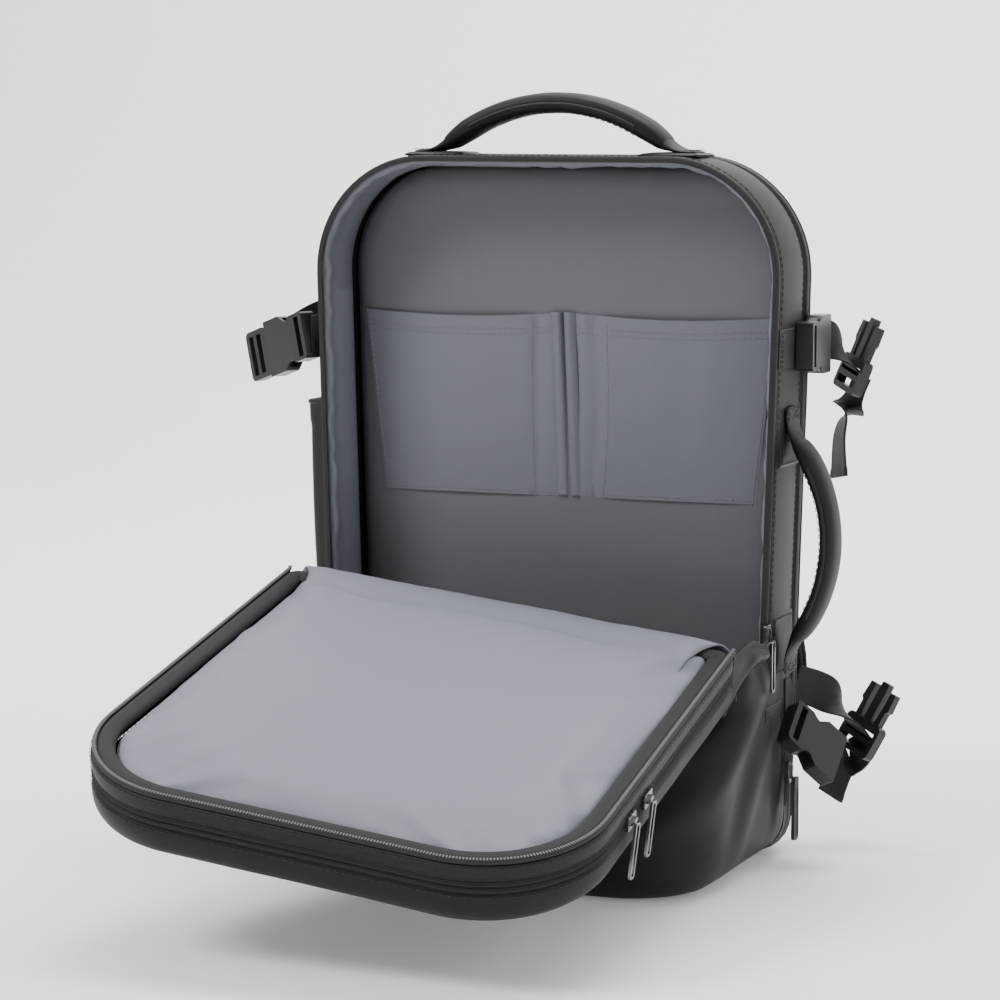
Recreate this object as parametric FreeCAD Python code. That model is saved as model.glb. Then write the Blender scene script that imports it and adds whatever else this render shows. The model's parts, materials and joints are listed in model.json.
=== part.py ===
"""Travel backpack whose main compartment opens clamshell fashion: the front cover unzips and folds
down on a fabric hinge. Millimetres, +Z up, +X to the viewer's right, +Y towards the wearer's back.
The origin is on the base's flat face, midway between the sides and under the main zip, whose plane
is y = 0.
"""

import FreeCAD
import Part
import math
import os

V = FreeCAD.Vector
X, Y, Z = V(1, 0, 0), V(0, 1, 0), V(0, 0, 1)

# Overall size
HEIGHT = 460.0  # top of the fabric body, without the handle
WIDTH_TOP = 326.0
WIDTH_BASE = 300.0
TOP_RADIUS = 76.0
BASE_RADIUS = 26.0
MAIN_DEPTH = 56.0  # main zip to rear zip
REAR_DEPTH = 34.0  # rear zip to wearer's face of the back panel
BACK_ROUND = 20.0

# Walls and gaps
WALL = 3.0
LINING = 1.2
GAP = 0.3  # between separate pieces that lie against each other
FAR = 2 * HEIGHT  # beyond every piece, for trimming

# Lower tub
TUB_FRONT = 118.0  # how far the tub bulges ahead of the main zip
TUB_RIM = 139.0
TUB_LIP = 10.0  # front edge of the rim, behind the cover's front face
TUB_FOLD = 29.0  # drop of the folded fabric under the open cover
TUB_SHOULDER = 86.0  # height where the front starts to bulge
TUB_TOE = 12.0  # set-back of the front's lower edge
TUB_CORNER = 58.0
FOLD_RUN = 16.0  # how far the folded fabric leans forward
TUB_BELLY = 24.0  # height over which the shoulder rounds into the front
TUB_RADII = (11, 0, 0, 0, 14, 20, 20, 14)  # corner radii of the side view
BOARD = 2.5
BOARD_CORNER = 6.0

# Cover
COVER_RISE = 13.0  # the cover's lower edge above the tub's rim
COVER_LOW = TUB_RIM + COVER_RISE
COVER_DEPTH = 44.0
OPEN_PITCH = 16.0  # the open cover droops this far below level
OPEN_ROLL = 7.0  # and leans this far to the right
HINGE_DROP = 14.0  # hinge line below the cover's lower edge
ZIP_BAND = 3.7
PANEL_BAND = 10.0
POCKET_ZIP_BAND = 8.0
COVER_BOARD = 2.5
PAD_INSET = 11.0
PAD_CROWN = 2.0
PAD_BACK = 2.0  # depth of the pad past the panel band
PAD_CORNER = 26.0
PAD_ROUND = 10.0
COVER_CORNER = 10.0
BINDING_CORNER = 14.0
BINDING = 2.0
PANEL_ROUND = 6.0

# Inside the main compartment
DIVIDER = 7.0
POCKET_TOP = 356.0
POCKET_LOW = 234.0
POCKET_WIDTH = 142.0
POCKET_SPACE = 6.0
POCKET_IN = 4.0  # from the centre line to a pocket
POCKET_CORNER = 4.0
SLEEVE_HEIGHT = 300.0
SLEEVE_SPACE = 12.0
SLEEVE_PAD = 3.0
SLEEVE_SIDE = 2.0
SLEEVE_CORNER = 8.0

# Rear
REAR_ZIP_WIDTH = 6.0
REAR_ZIP_LOW = 120.0
REAR_ZIP_DEEP = 1.6
BACK_PAD = 8.0
BACK_PAD_WIDTH = 112.0
BACK_PAD_LOW = 62.0
BACK_PAD_DOWN = 56.0  # from the top of the bag to the top of the pads
BAND_LOW = 170.0
BAND_HEIGHT = 110.0
BAND_WIDTH = 284.0
BAND_SPACE = 8.0
BAND_SEAM = 4.0
BACK_PAD_IN = 14.0  # from the centre line to a pad
BACK_PAD_CORNER = 24.0
BACK_PAD_ROUND = 5.0

# Webbing and moulded buckles
WEBBING = 25.0
WEBBING_THICK = 1.6
UPPER_STRAP_Z = 339.0
LOWER_STRAP_Z = 96.0
FEMALE = (46.0, WEBBING + 13, 11.0)  # length, width, thickness
FEMALE_WALL = 1.8
SOCKET_END = 18.0  # blind end of the socket, from the bar end
SOCKET_NECK = (14.0, 20.0, 28.0)  # from the bar end: shoulder, waist and mouth
SOCKET_WAIST = 6.0
MALE_BASE = (24.0, WEBBING + 9, 7.0)
PRONG = (28.0, 5.0, 5.0)
PRONG_ROOT = (7.0, 12.0)  # an outer prong's inner and outer edge at the plate
PRONG_TIP = (8.0, 13.0)
PRONG_WAIST = 12.0
BAR = 4.0
SLOT = 5.0
FRONT_WEBBING_REAR = 34.0

# Handles: span between the pivots, rise, width and thickness of the grip
TOP_HANDLE = (152.0, 20.0, 28.0, 14.0)
SIDE_HANDLE = (128.0, 16.0, 26.0, 12.0)
TOP_HANDLE_Y = 30.0
SIDE_HANDLE_Y = 30.0
SIDE_HANDLE_Z = 214.0
KNUCKLE = 6.0
TAB_THICK = 1.8
TAB_HALF = 20.0  # half the length of a handle's sewn tab
TAB_CORNER = 3.0

# Zip sliders and pulls
SLIDER = (9.0, 4.0, 14.0)  # across the zip, off the face, along the zip
PULL = (7.0, 1.6, 34.0)
PULL_WIRE = 1.6
PULL_DROP = 3.0  # a pull's own end, below the middle of its slider
PULL_OFF = 0.4  # gap between a slider and its pull
SLIDER_LOW = TUB_RIM + 17
REAR_SLIDER_LOW = 134.0
SIDE_ZIP = (36.0, 84.0)  # height of its lower end, length
SIDE_ZIP_Y = 49.0
SIDE_ZIP_WIDTH = 10.0
SIDE_ZIP_THICK = 1.0
SIDE_SLIDER_Z = 58.0
TAB_PULL = (9.0, 2.4, 42.0)

# Side pocket
SIDE_POCKET = (122.0, 296.0, 8.0, 50.0, 14.0)  # low, high, front, rear, stand-off
SIDE_POCKET_WALL = 1.6

# Shoulder straps
STRAP_TOP_DOWN = 36.0  # from the top of the bag to the straps' upper ends
STRAP_TOP = HEIGHT - STRAP_TOP_DOWN
STRAP_TOP_X = 58.0
STRAP_LOW = 112.0
STRAP_LOW_X = 132.0
STRAP_WIDTH = 62.0
STRAP_THICK = 12.0
STRAP_PIVOT = 5.0
NECK_SHARE = 0.3  # half the neck's width, as a share of the strap's
ANCHOR_SHARE = 0.36
ADJUSTER = (18.0, 21.0, 3.0)  # half width, length and half thickness
ANCHOR_Z = 40.0
ANCHOR_X = 117.0

REAR_Y = MAIN_DEPTH + REAR_DEPTH
PAD_FACE = REAR_Y + BACK_PAD
BAND_Y = PAD_FACE + BAND_SPACE
STRAP_Y = BAND_Y + LINING + 1.0


# ---- helpers ------------------------------------------------------------------------------

def half_width(z):
    """Half the bag's outer width at a height."""
    return (WIDTH_BASE + z / HEIGHT * (WIDTH_TOP - WIDTH_BASE)) / 2


def inset_loop(points, by):
    """A closed polygon, anticlockwise, with every side moved inwards."""
    count = len(points)
    moved = []
    for i in range(count):
        before, here, after = points[i - 1], points[i], points[(i + 1) % count]
        ends = []
        for (ax, ay), (bx, by_) in ((before, here), (here, after)):
            length = math.hypot(bx - ax, by_ - ay)
            ends.append(((bx - ax) / length, (by_ - ay) / length))
        (ux, uy), (vx, vy) = ends
        turn = ux * vy - uy * vx
        if abs(turn) < 1e-9:
            moved.append((here[0] - uy * by, here[1] + ux * by))
            continue
        p = (here[0] - uy * by, here[1] + ux * by)
        q = (here[0] - vy * by, here[1] + vx * by)
        t = ((q[0] - p[0]) * vy - (q[1] - p[1]) * vx) / turn
        moved.append((p[0] + ux * t, p[1] + uy * t))
    return moved


def rounded_face(points, radii, place):
    """A flat face on a polygon whose corners are rounded; place turns (a, b) into a point."""
    count = len(points)
    corners = []
    for i in range(count):
        p = V(*points[i], 0)
        to_before = (V(*points[i - 1], 0) - p).normalize()
        to_after = (V(*points[(i + 1) % count], 0) - p).normalize()
        half = to_before.getAngle(to_after) / 2
        radius = radii[i]
        if radius <= 0:
            corners.append((p, None, p))
            continue
        reach = radius / math.tan(half)
        middle = (to_before + to_after).normalize()
        top = p + middle * (radius / math.sin(half) - radius)
        corners.append((p + to_before * reach, top, p + to_after * reach))
    edges = []
    for i in range(count):
        start, top, end = corners[i]
        if top is not None:
            edges.append(Part.Arc(place(*start[:2]), place(*top[:2]), place(*end[:2])).toShape())
        following = corners[(i + 1) % count][0]
        if (following - end).Length > 1e-6:
            edges.append(Part.LineSegment(place(*end[:2]), place(*following[:2])).toShape())
    return Part.Face(Part.Wire(edges))


def prism(points, radii, axis, low, high, inset=0.0):
    """A rounded polygon pushed along X, Y or Z from low to high."""
    points = inset_loop(points, inset) if inset else points
    radii = [max(r - inset, 0.0) if r else 0.0 for r in radii]
    place = {
        "X": lambda a, b: V(low, a, b),
        "Y": lambda a, b: V(a, low, b),
        "Z": lambda a, b: V(a, b, low),
    }[axis]
    return rounded_face(points, radii, place).extrude({"X": X, "Y": Y, "Z": Z}[axis] * (high - low))


def box(x0, x1, y0, y1, z0, z1):
    return Part.makeBox(x1 - x0, y1 - y0, z1 - z0, V(x0, y0, z0))


def rounded_box(x0, x1, y0, y1, z0, z1, radius, axis):
    pairs = {"X": (y0, y1, z0, z1), "Y": (x0, x1, z0, z1), "Z": (x0, x1, y0, y1)}[axis]
    a0, a1, b0, b1 = pairs
    low, high = {"X": (x0, x1), "Y": (y0, y1), "Z": (z0, z1)}[axis]
    return prism([(a0, b0), (a1, b0), (a1, b1), (a0, b1)], [radius] * 4, axis, low, high)


def mirrored(shape):
    return shape.mirror(V(0, 0, 0), X)


def placed(shape, origin, along, across):
    """Puts a piece modelled along +X and across +Z so that it runs along one direction."""
    along = V(*along).normalize()
    across = V(*across)
    across = (across - along * across.dot(along)).normalize()
    turned = shape.copy()
    turned.Placement = FreeCAD.Placement(
        V(*origin), FreeCAD.Rotation(along, across.cross(along), across, "XZY"))
    return turned


def ribbon(stations, width=WEBBING, thick=WEBBING_THICK):
    """Flat webbing through (centre, across, normal) stations, ruled from one to the next."""
    wires = []
    for centre, across, normal in stations:
        c = V(*centre)
        w = V(*across).normalize() * (width / 2)
        n = V(*normal).normalize() * (thick / 2)
        wires.append(Part.makePolygon([c - w - n, c + w - n, c + w + n, c - w + n, c - w - n]))
    return Part.makeLoft(wires, True, True)


def export(shape, name):
    if not shape.isValid():
        shape.fix(0.01, 0.01, 0.01)
    solids = shape.Solids
    shape = solids[0] if len(solids) == 1 else Part.makeCompound(solids)
    shape.exportStep(f"parts/{name}.step")
    PIECES[name] = shape


# ---- outlines ------------------------------------------------------------------------------

def bag_outline(low, low_radius):
    """The bag seen from the front, from a height up, anticlockwise, and its corner radii."""
    right = [(half_width(low), low), (half_width(HEIGHT), HEIGHT)]
    left = [(-x, z) for x, z in reversed(right)]
    return right + left, [low_radius, TOP_RADIUS, TOP_RADIUS, low_radius]


def shell_ring(low, low_radius, y0, y1, inset, thick, closed=True):
    """A band of the bag's outline, y0 to y1; open at the bottom unless closed."""
    points, radii = bag_outline(low, low_radius)
    ring = prism(points, radii, "Y", y0, y1, inset)
    hole = prism(points, radii, "Y", y0 - 1, y1 + 1, inset + thick)
    ring = ring.cut(hole)
    if not closed:
        points, radii = bag_outline(low - inset - thick - 5, 0)
        ring = ring.cut(prism(points, radii, "Y", y0 - 1, y1 + 1, inset + thick))
    return ring


# ---- hinge of the cover --------------------------------------------------------------------

HINGE_POINT = V(0, -COVER_DEPTH, COVER_LOW - HINGE_DROP)


def open_rotation():
    """The turn that carries the closed cover to its open, drooping place."""
    pitch, roll = math.radians(OPEN_PITCH), math.radians(OPEN_ROLL)
    side = V(math.cos(roll), 0, -math.sin(roll))
    length = V(0, -math.cos(pitch), -math.sin(pitch))
    length = (length - side * length.dot(side)).normalize()
    return FreeCAD.Rotation(side, length.cross(side), length, "ZXY")


OPEN = open_rotation()
HINGE_AXIS = OPEN.Axis
HINGE_ANGLE = math.degrees(OPEN.Angle)


def opened(shape):
    """A cover piece, modelled closed, turned to its open place."""
    turned = shape.copy()
    turned.rotate(HINGE_POINT, HINGE_AXIS, HINGE_ANGLE)
    return turned


# ---- body of the bag -----------------------------------------------------------------------

def tub_profile(beyond):
    """Side view of the lower tub as (y, z), anticlockwise, with its corner radii."""
    lip = -COVER_DEPTH + TUB_LIP
    rear, rim = MAIN_DEPTH + beyond, TUB_RIM + beyond
    points = [
        (-TUB_FRONT + TUB_TOE, 0), (rear, 0), (rear, rim), (lip, rim),
        (lip - FOLD_RUN, TUB_RIM - TUB_FOLD), (-TUB_FRONT + TUB_TOE, TUB_SHOULDER),
        (-TUB_FRONT, TUB_SHOULDER - TUB_BELLY), (-TUB_FRONT, TUB_TOE + 2),
    ]
    return points, list(TUB_RADII)


def tub_solid(inset, beyond=0.0):
    """The tub's outer form moved inwards; beyond carries it out through the rim and the rear."""
    points, radii = tub_profile(beyond)
    side = prism(points, radii, "X", -WIDTH_BASE, WIDTH_BASE, inset)
    half = WIDTH_TOP / 2
    rear = MAIN_DEPTH + beyond
    plan = [(-half, -TUB_FRONT), (half, -TUB_FRONT), (half, rear), (-half, rear)]
    solid = side.common(prism(plan, [TUB_CORNER, TUB_CORNER, 0, 0], "Z", -1, TUB_RIM + beyond + 1,
                              inset))
    points, radii = bag_outline(0, BASE_RADIUS)
    return solid.common(prism(points, radii, "Y", -TUB_FRONT - 1, rear + 1, inset))


def base_tub():
    """The lower box, open at the top behind its rim and open to the divider at the rear."""
    return tub_solid(0).cut(tub_solid(WALL, 2 * WALL))


def base_board():
    half = WIDTH_BASE / 2 - BASE_RADIUS
    front = -TUB_FRONT + TUB_TOE + WALL + 2 * GAP
    plan = [(-half, front), (half, front), (half, MAIN_DEPTH - 2), (-half, MAIN_DEPTH - 2)]
    corner = TUB_CORNER - BASE_RADIUS
    return prism(plan, [corner, corner, BOARD_CORNER, BOARD_CORNER], "Z", WALL + GAP, WALL + GAP + BOARD)


def front_lining():
    return shell_ring(TUB_RIM + GAP, 0, ZIP_BAND + GAP, MAIN_DEPTH - DIVIDER - GAP,
                      WALL + GAP, LINING, closed=False)


def divider_panel():
    low = WALL + GAP + BOARD + GAP
    points, radii = bag_outline(low, BASE_RADIUS)
    return prism(points, radii, "Y", MAIN_DEPTH - DIVIDER, MAIN_DEPTH - GAP,
                 WALL + LINING + 2 * GAP)


def slip_pocket(side):
    """An open-topped pocket sewn to the divider on three sides."""
    face = MAIN_DEPTH - DIVIDER
    inner, outer = POCKET_IN, POCKET_IN + POCKET_WIDTH
    shell = rounded_box(inner, outer, face - POCKET_SPACE - LINING, face, POCKET_LOW, POCKET_TOP,
                        POCKET_CORNER, "Y")
    hollow = rounded_box(inner + LINING, outer - LINING, face - POCKET_SPACE, face + 1,
                         POCKET_LOW + LINING, POCKET_TOP + 20, POCKET_CORNER - LINING, "Y")
    pocket = shell.cut(hollow)
    return pocket if side > 0 else mirrored(pocket)


def rear_shell(inset):
    """The rear compartment's solid, rounded at the wearer's side."""
    points, radii = bag_outline(0, BASE_RADIUS)
    solid = prism(points, radii, "Y", MAIN_DEPTH + GAP, REAR_Y - inset, inset)
    rim = [e for e in solid.Edges if all(abs(v.Point.y - REAR_Y + inset) < 1e-6 for v in e.Vertexes)]
    return solid.makeFillet(BACK_ROUND - inset, rim)


def rear_hollow():
    points, radii = bag_outline(0, BASE_RADIUS)
    mouth = prism(points, radii, "Y", MAIN_DEPTH - 5, MAIN_DEPTH + 5, WALL)
    return rear_shell(WALL).fuse(mouth)


def rear_zip_ring(low, deep, extra):
    """The band that the rear zip fills, over the top and down both sides."""
    ring = shell_ring(0, BASE_RADIUS, MAIN_DEPTH + GAP - extra, MAIN_DEPTH + GAP + REAR_ZIP_WIDTH,
                      0, deep)
    return ring.common(box(-FAR, FAR, -FAR, FAR, low, FAR))


SEAM_Y = REAR_Y - BACK_ROUND - 1


def rear_gusset(shell):
    gusset = shell.common(box(-FAR, FAR, -FAR, SEAM_Y, -FAR, FAR))
    return gusset.cut(rear_zip_ring(REAR_ZIP_LOW, REAR_ZIP_DEEP, 1))


def back_panel(shell):
    return shell.common(box(-FAR, FAR, SEAM_Y + GAP, FAR, -FAR, FAR))


def laptop_sleeve():
    """A padded pocket for a flat computer, sewn to the inside of the back panel."""
    back = REAR_Y - WALL - GAP
    half = WIDTH_BASE / 2 - WALL - BACK_ROUND
    low = BASE_RADIUS
    outer = rounded_box(-half, half, back - SLEEVE_SPACE - SLEEVE_PAD, back, low, SLEEVE_HEIGHT,
                        SLEEVE_CORNER, "Y")
    hollow = rounded_box(-half + SLEEVE_SIDE, half - SLEEVE_SIDE, back - SLEEVE_SPACE, back + 1,
                         low + SLEEVE_SIDE, SLEEVE_HEIGHT + 30, SLEEVE_CORNER - SLEEVE_SIDE, "Y")
    return outer.cut(hollow)


def back_pad(side):
    inner, outer = BACK_PAD_IN, BACK_PAD_IN + BACK_PAD_WIDTH
    pad = rounded_box(inner, outer, REAR_Y + GAP, PAD_FACE, BACK_PAD_LOW,
                      HEIGHT - BACK_PAD_DOWN, BACK_PAD_CORNER, "Y")
    face = [e for e in pad.Edges if all(abs(v.Point.y - PAD_FACE) < 1e-6 for v in e.Vertexes)]
    pad = pad.makeFillet(BACK_PAD_ROUND, face)
    return pad if side > 0 else mirrored(pad)


def luggage_band():
    """A wide strap across the back that slides over a suitcase's pull-out handle."""
    half = BAND_WIDTH / 2
    top = BAND_LOW + BAND_HEIGHT
    outer = rounded_box(-half, half, REAR_Y + GAP, BAND_Y + LINING, BAND_LOW, top, 2, "Z")
    return outer.cut(box(-half + BAND_SEAM, half - BAND_SEAM, REAR_Y - 1, BAND_Y,
                         BAND_LOW - 1, top + 1))


def front_webbing(z):
    """A short strap sewn beside the main zip, which leads back to an open buckle."""
    face = half_width(z + WEBBING / 2) + GAP
    return box(face, face + WEBBING_THICK, ZIP_BAND, FRONT_WEBBING_REAR,
               z - WEBBING / 2, z + WEBBING / 2)


def side_pocket():
    """An open-topped pocket for a bottle or umbrella on the left side."""
    low, high, front, rear, out = SIDE_POCKET
    base, top = half_width(low) + GAP, half_width(high) + GAP
    wall = SIDE_POCKET_WALL
    outer = prism([(base, low), (base + out, low), (top + out, high), (top, high)],
                  [0, 8, 0, 0], "Y", front, rear)
    hollow = prism([(base - 20, low + wall), (base + out - wall, low + wall),
                    (top + out - wall, high + 1), (top - 20, high + 1)],
                   [0, 6, 0, 0], "Y", front + wall, rear - wall)
    return mirrored(outer.cut(hollow))


def side_zip_tape():
    """The upright zip of the lower right pocket."""
    low, length = SIDE_ZIP
    face = half_width(low + length) + GAP
    half = SIDE_ZIP_WIDTH / 2
    return box(face, face + SIDE_ZIP_THICK, SIDE_ZIP_Y - half, SIDE_ZIP_Y + half, low, low + length)


# ---- handles -------------------------------------------------------------------------------

def grip(size):
    """A padded handle on its two knuckles: span along X, rise along Z, pivot line at z = 0."""
    span, rise, width, thick = size
    half = span / 2
    outer = Part.Arc(V(-half - thick / 2, 0, 0), V(0, 0, rise + thick), V(half + thick / 2, 0, 0))
    inner = Part.Arc(V(half - thick / 2, 0, 0), V(0, 0, rise), V(-half + thick / 2, 0, 0))
    feet = [
        Part.LineSegment(V(half + thick / 2, 0, 0), V(half - thick / 2, 0, 0)),
        Part.LineSegment(V(-half + thick / 2, 0, 0), V(-half - thick / 2, 0, 0)),
    ]
    wire = Part.Wire([outer.toShape(), feet[0].toShape(), inner.toShape(), feet[1].toShape()])
    face = Part.Face(wire)
    face.translate(V(0, -width / 2, 0))
    body = face.extrude(Y * width)
    neck = 2 * KNUCKLE + 2
    for side in (-1, 1):
        for edge in (-1, 1):
            trim = box(-thick * 2, thick * 2, KNUCKLE, width, -1, neck)
            trim = trim if edge > 0 else trim.mirror(V(0, 0, 0), Y)
            trim.translate(V(side * half, 0, 0))
            body = body.cut(trim)
        knuckle = Part.makeCylinder(KNUCKLE, thick, V(side * half - thick / 2, 0, 0), X)
        body = body.fuse(knuckle)
    return body.removeSplitter()


def top_handle():
    handle = grip(TOP_HANDLE)
    handle.translate(V(0, TOP_HANDLE_Y, TOP_PIVOT_Z))
    return handle


def side_handle():
    handle = grip(SIDE_HANDLE)
    turned = placed(handle, (0, 0, 0), (0, 0, -1), (1, 0, 0))
    turned.translate(V(SIDE_PIVOT_X, SIDE_HANDLE_Y, SIDE_HANDLE_Z))
    return turned


TOP_PIVOT_Z = HEIGHT + TAB_THICK + GAP + KNUCKLE
SIDE_PIVOT_X = (half_width(SIDE_HANDLE_Z + SIDE_HANDLE[0] / 2 + 25) + TAB_THICK + GAP + KNUCKLE)


def top_handle_tabs():
    span, _, width, _ = TOP_HANDLE
    tabs = []
    for side in (-1, 1):
        x = side * (span / 2 + 6)
        tabs.append(rounded_box(x - TAB_HALF, x + TAB_HALF, TOP_HANDLE_Y - width / 2 - 3,
                                TOP_HANDLE_Y + width / 2 + 3, HEIGHT, HEIGHT + TAB_THICK,
                                TAB_CORNER, "Z"))
    return Part.makeCompound(tabs)


def side_handle_tabs():
    span, _, width, _ = SIDE_HANDLE
    tabs = []
    for side in (-1, 1):
        z = SIDE_HANDLE_Z + side * (span / 2 + 4)
        face = half_width(z + TAB_HALF)
        tabs.append(rounded_box(face, face + TAB_THICK, SIDE_HANDLE_Y - width / 2 - 5,
                                MAIN_DEPTH - 1, z - TAB_HALF, z + TAB_HALF, TAB_CORNER, "X"))
    return Part.makeCompound(tabs)


# ---- buckles and straps ---------------------------------------------------------------------

def female_buckle():
    """Socket half: webbing bar at x = 0, mouth at the far end, width along Z."""
    length, width, thick = FEMALE
    half = width / 2
    waist = half - SOCKET_WAIST
    shoulder, narrow, mouth = SOCKET_NECK
    plan = [(0, -half + 3), (shoulder, -half + 3), (narrow, -waist), (mouth, -half),
            (length, -half), (length, half), (mouth, half), (narrow, waist),
            (shoulder, half - 3), (0, half - 3)]
    body = prism(plan, [3, 0, 3, 3, 1, 1, 3, 3, 0, 3], "Y", -thick / 2, thick / 2)
    cave = box(SOCKET_END, length + 1, -thick / 2 + FEMALE_WALL, thick / 2 - FEMALE_WALL,
               -half + FEMALE_WALL, half - FEMALE_WALL)
    slot = box(BAR, BAR + SLOT, -thick, thick, -WEBBING / 2 - 1, WEBBING / 2 + 1)
    return body.cut(cave).cut(slot)


def male_buckle():
    """Plug half: rounded plate with two webbing slots at x = 0, then a guide and two prongs."""
    length, width, thick = MALE_BASE
    half = width / 2
    plate = rounded_box(0, length, -thick / 2, thick / 2, -half, half, 4, "Y")
    for start in (BAR, 2 * BAR + SLOT):
        plate = plate.cut(box(start, start + SLOT, -thick, thick, -WEBBING / 2 - 1, WEBBING / 2 + 1))
    reach, wide, deep = PRONG
    guide = rounded_box(length - 1, length + reach, -deep / 2, deep / 2, -wide / 2 - 1,
                        wide / 2 + 1, 1.5, "Y")
    body = plate.fuse(guide)
    for side in (-1, 1):
        root, tip = length - 1, length + reach - BAR
        waist = length + PRONG_WAIST
        arm = [(root, PRONG_ROOT[0]), (waist, PRONG_TIP[0]), (tip, PRONG_TIP[0]),
               (tip, PRONG_TIP[1]), (waist, PRONG_TIP[1] + 1), (waist - 2, PRONG_ROOT[1]),
               (root, PRONG_ROOT[1])]
        arm = arm if side > 0 else [(x, -z) for x, z in reversed(arm)]
        body = body.fuse(prism(arm, [0] * len(arm), "Y", -deep / 2, deep / 2))
    return body.removeSplitter()


PLUG_BAR = BAR + SLOT + BAR / 2


def point_on(origin, along, distance):
    return V(*origin) + V(*along).normalize() * distance


# Each open strap on the right: buckle place and direction, and the webbing that leads to it.
UPPER_FEMALE = ((half_width(UPPER_STRAP_Z) + 8.8, 34.8, UPPER_STRAP_Z), (-0.04, 1, 0), (0, 0, 1))
LOWER_FEMALE = ((half_width(LOWER_STRAP_Z) + 8.2, 31.0, LOWER_STRAP_Z),
                (0.533, 0.523, -0.663), (0.03, 0.79, 0.607))
UPPER_MALE = ((171, 121, 304), (0.365, 0.09, 0.926), (0.62, -0.75, -0.17))
LOWER_MALE = ((180, 114, 62), (0.435, 0.177, 0.88), (0.79, -0.545, -0.289))


def rear_seam(z):
    """Where a rear webbing leaves the bag, on the rounded edge of the back panel."""
    inwards = BACK_ROUND * (1 - math.sqrt(0.5)) - 1.6
    return V(half_width(z) - inwards, REAR_Y - inwards, z)


def rear_strap(male, z, tail):
    """Webbing from the rear seam to a plug buckle's bar, and its tail hanging on."""
    origin, along, across = male
    bar = point_on(origin, along, PLUG_BAR)
    face = V(*across).normalize().cross(V(*along).normalize())
    face = face if face.y > 0 else face * -1
    behind = MALE_BASE[2] / 2 + WEBBING_THICK
    start = rear_seam(z)
    middle = (start + bar) * 0.5 + V(4, 6, 5)
    near = bar + face * behind
    strip = ribbon([
        (start, (0, 0, 1), (1, 1, 0)),
        (middle, V(*across) * -0.4 + V(0, 0, 1) * 0.6, (0.8, -0.6, 0)),
        (near, V(*across) * -1, face),
    ])
    drop = near + face * 2.5
    hanging = ribbon([(drop, V(*across) * -1, face)] + tail)
    return strip, hanging


UPPER_TAIL = [
    ((168, 119, 278), (0.5, -0.8, 0.1), (0.6, 0.7, 0)),
    ((169, 113, 247), (0.6, -0.7, 0.1), (0.6, 0.7, 0)),
]
LOWER_TAIL = [
    ((170, 127, 50), (0.8, -0.5, 0), (0.5, 0.8, 0)),
    ((162, 125, 28), (0.8, -0.5, 0), (0.5, 0.8, 0)),
]


LEFT_STRAPS = [
    ((-168, 3.5, 341), (-0.82, 0.48, -0.28), (-0.24, 0.13, 0.96), UPPER_STRAP_Z + 16),
    ((-163, 3.5, 100), (-0.84, 0.5, -0.16), (-0.14, 0.08, 0.98), LOWER_STRAP_Z + 12),
]
PLUG_STOP = 2.5  # a plug's shoulder stands this far off the socket's mouth
SIDE_SLOPE_LEFT = ((WIDTH_BASE - WIDTH_TOP) / 2, 0, HEIGHT)
LEAD_FACE = (0.4, 1, 0)


def buckled_strap(origin, along, across, z):
    """A slack strap that is buckled: socket, plug and the webbing back to the rear seam."""
    socket = placed(female_buckle(), origin, along, across)
    base = point_on(origin, along, FEMALE[0] + PLUG_STOP + MALE_BASE[0])
    plug = placed(male_buckle(), base, V(*along) * -1, across)
    bar = point_on(base, V(*along) * -1, PLUG_BAR)
    face = V(*across).normalize().cross(V(*along).normalize())
    face = face if face.y > 0 else face * -1
    near = bar + face * (MALE_BASE[2] / 2 + WEBBING_THICK)
    seam = rear_seam(z)
    start = V(-seam.x, seam.y, seam.z)
    bow = (start + near) * 0.5 + V(-9, 9, 3)
    webbing = ribbon([
        (start, (0, 0, 1), (-1, 1, 0)),
        (bow, V(*across) + V(0, 0, 1), face + V(-1, 1, 0)),
        (near, across, face),
    ])
    sewn = V(-half_width(origin[2] + WEBBING / 2) - GAP, ZIP_BAND + 5, origin[2])
    lead = ribbon([
        (sewn, SIDE_SLOPE_LEFT, LEAD_FACE),
        (point_on(origin, along, -1.5), across, face),
    ])
    return socket, plug, webbing, lead


# ---- shoulder straps -------------------------------------------------------------------------

def shoulder_strap():
    """A padded strap that hangs down the back and curves out to the lower corner."""
    half = STRAP_WIDTH / 2
    stations = [(STRAP_TOP - 8, STRAP_TOP_X, 0.72), (STRAP_TOP - 64, 62, 1.0), (270, 78, 1.0),
                (190, 100, 0.9), (STRAP_LOW + 30, 120, 0.74), (STRAP_LOW, STRAP_LOW_X, 0.5)]
    right = [(x + half * share, z) for z, x, share in stations]
    left = [(x - half * share, z) for z, x, share in stations]
    loop = left + right[::-1]
    strap = prism(loop, [0] * len(loop), "Y", STRAP_Y, STRAP_Y + STRAP_THICK)
    neck_half = STRAP_WIDTH * NECK_SHARE
    middle = STRAP_Y + STRAP_THICK / 2
    knuckle = Part.makeCylinder(STRAP_PIVOT, 2 * neck_half,
                                V(STRAP_TOP_X - neck_half, middle, STRAP_TOP), X)
    neck = box(STRAP_TOP_X - neck_half, STRAP_TOP_X + neck_half, middle - 3, middle + 3,
               STRAP_TOP - STRAP_THICK, STRAP_TOP)
    return strap.fuse([neck, knuckle]).removeSplitter()


def strap_anchor():
    """The sewn block that carries a shoulder strap's top end."""
    reach = STRAP_WIDTH * ANCHOR_SHARE
    face = STRAP_Y + STRAP_THICK / 2 - STRAP_PIVOT - GAP
    return box(STRAP_TOP_X - reach, STRAP_TOP_X + reach, REAR_Y + GAP, face,
               STRAP_TOP - 4, STRAP_TOP + 8)


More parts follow.
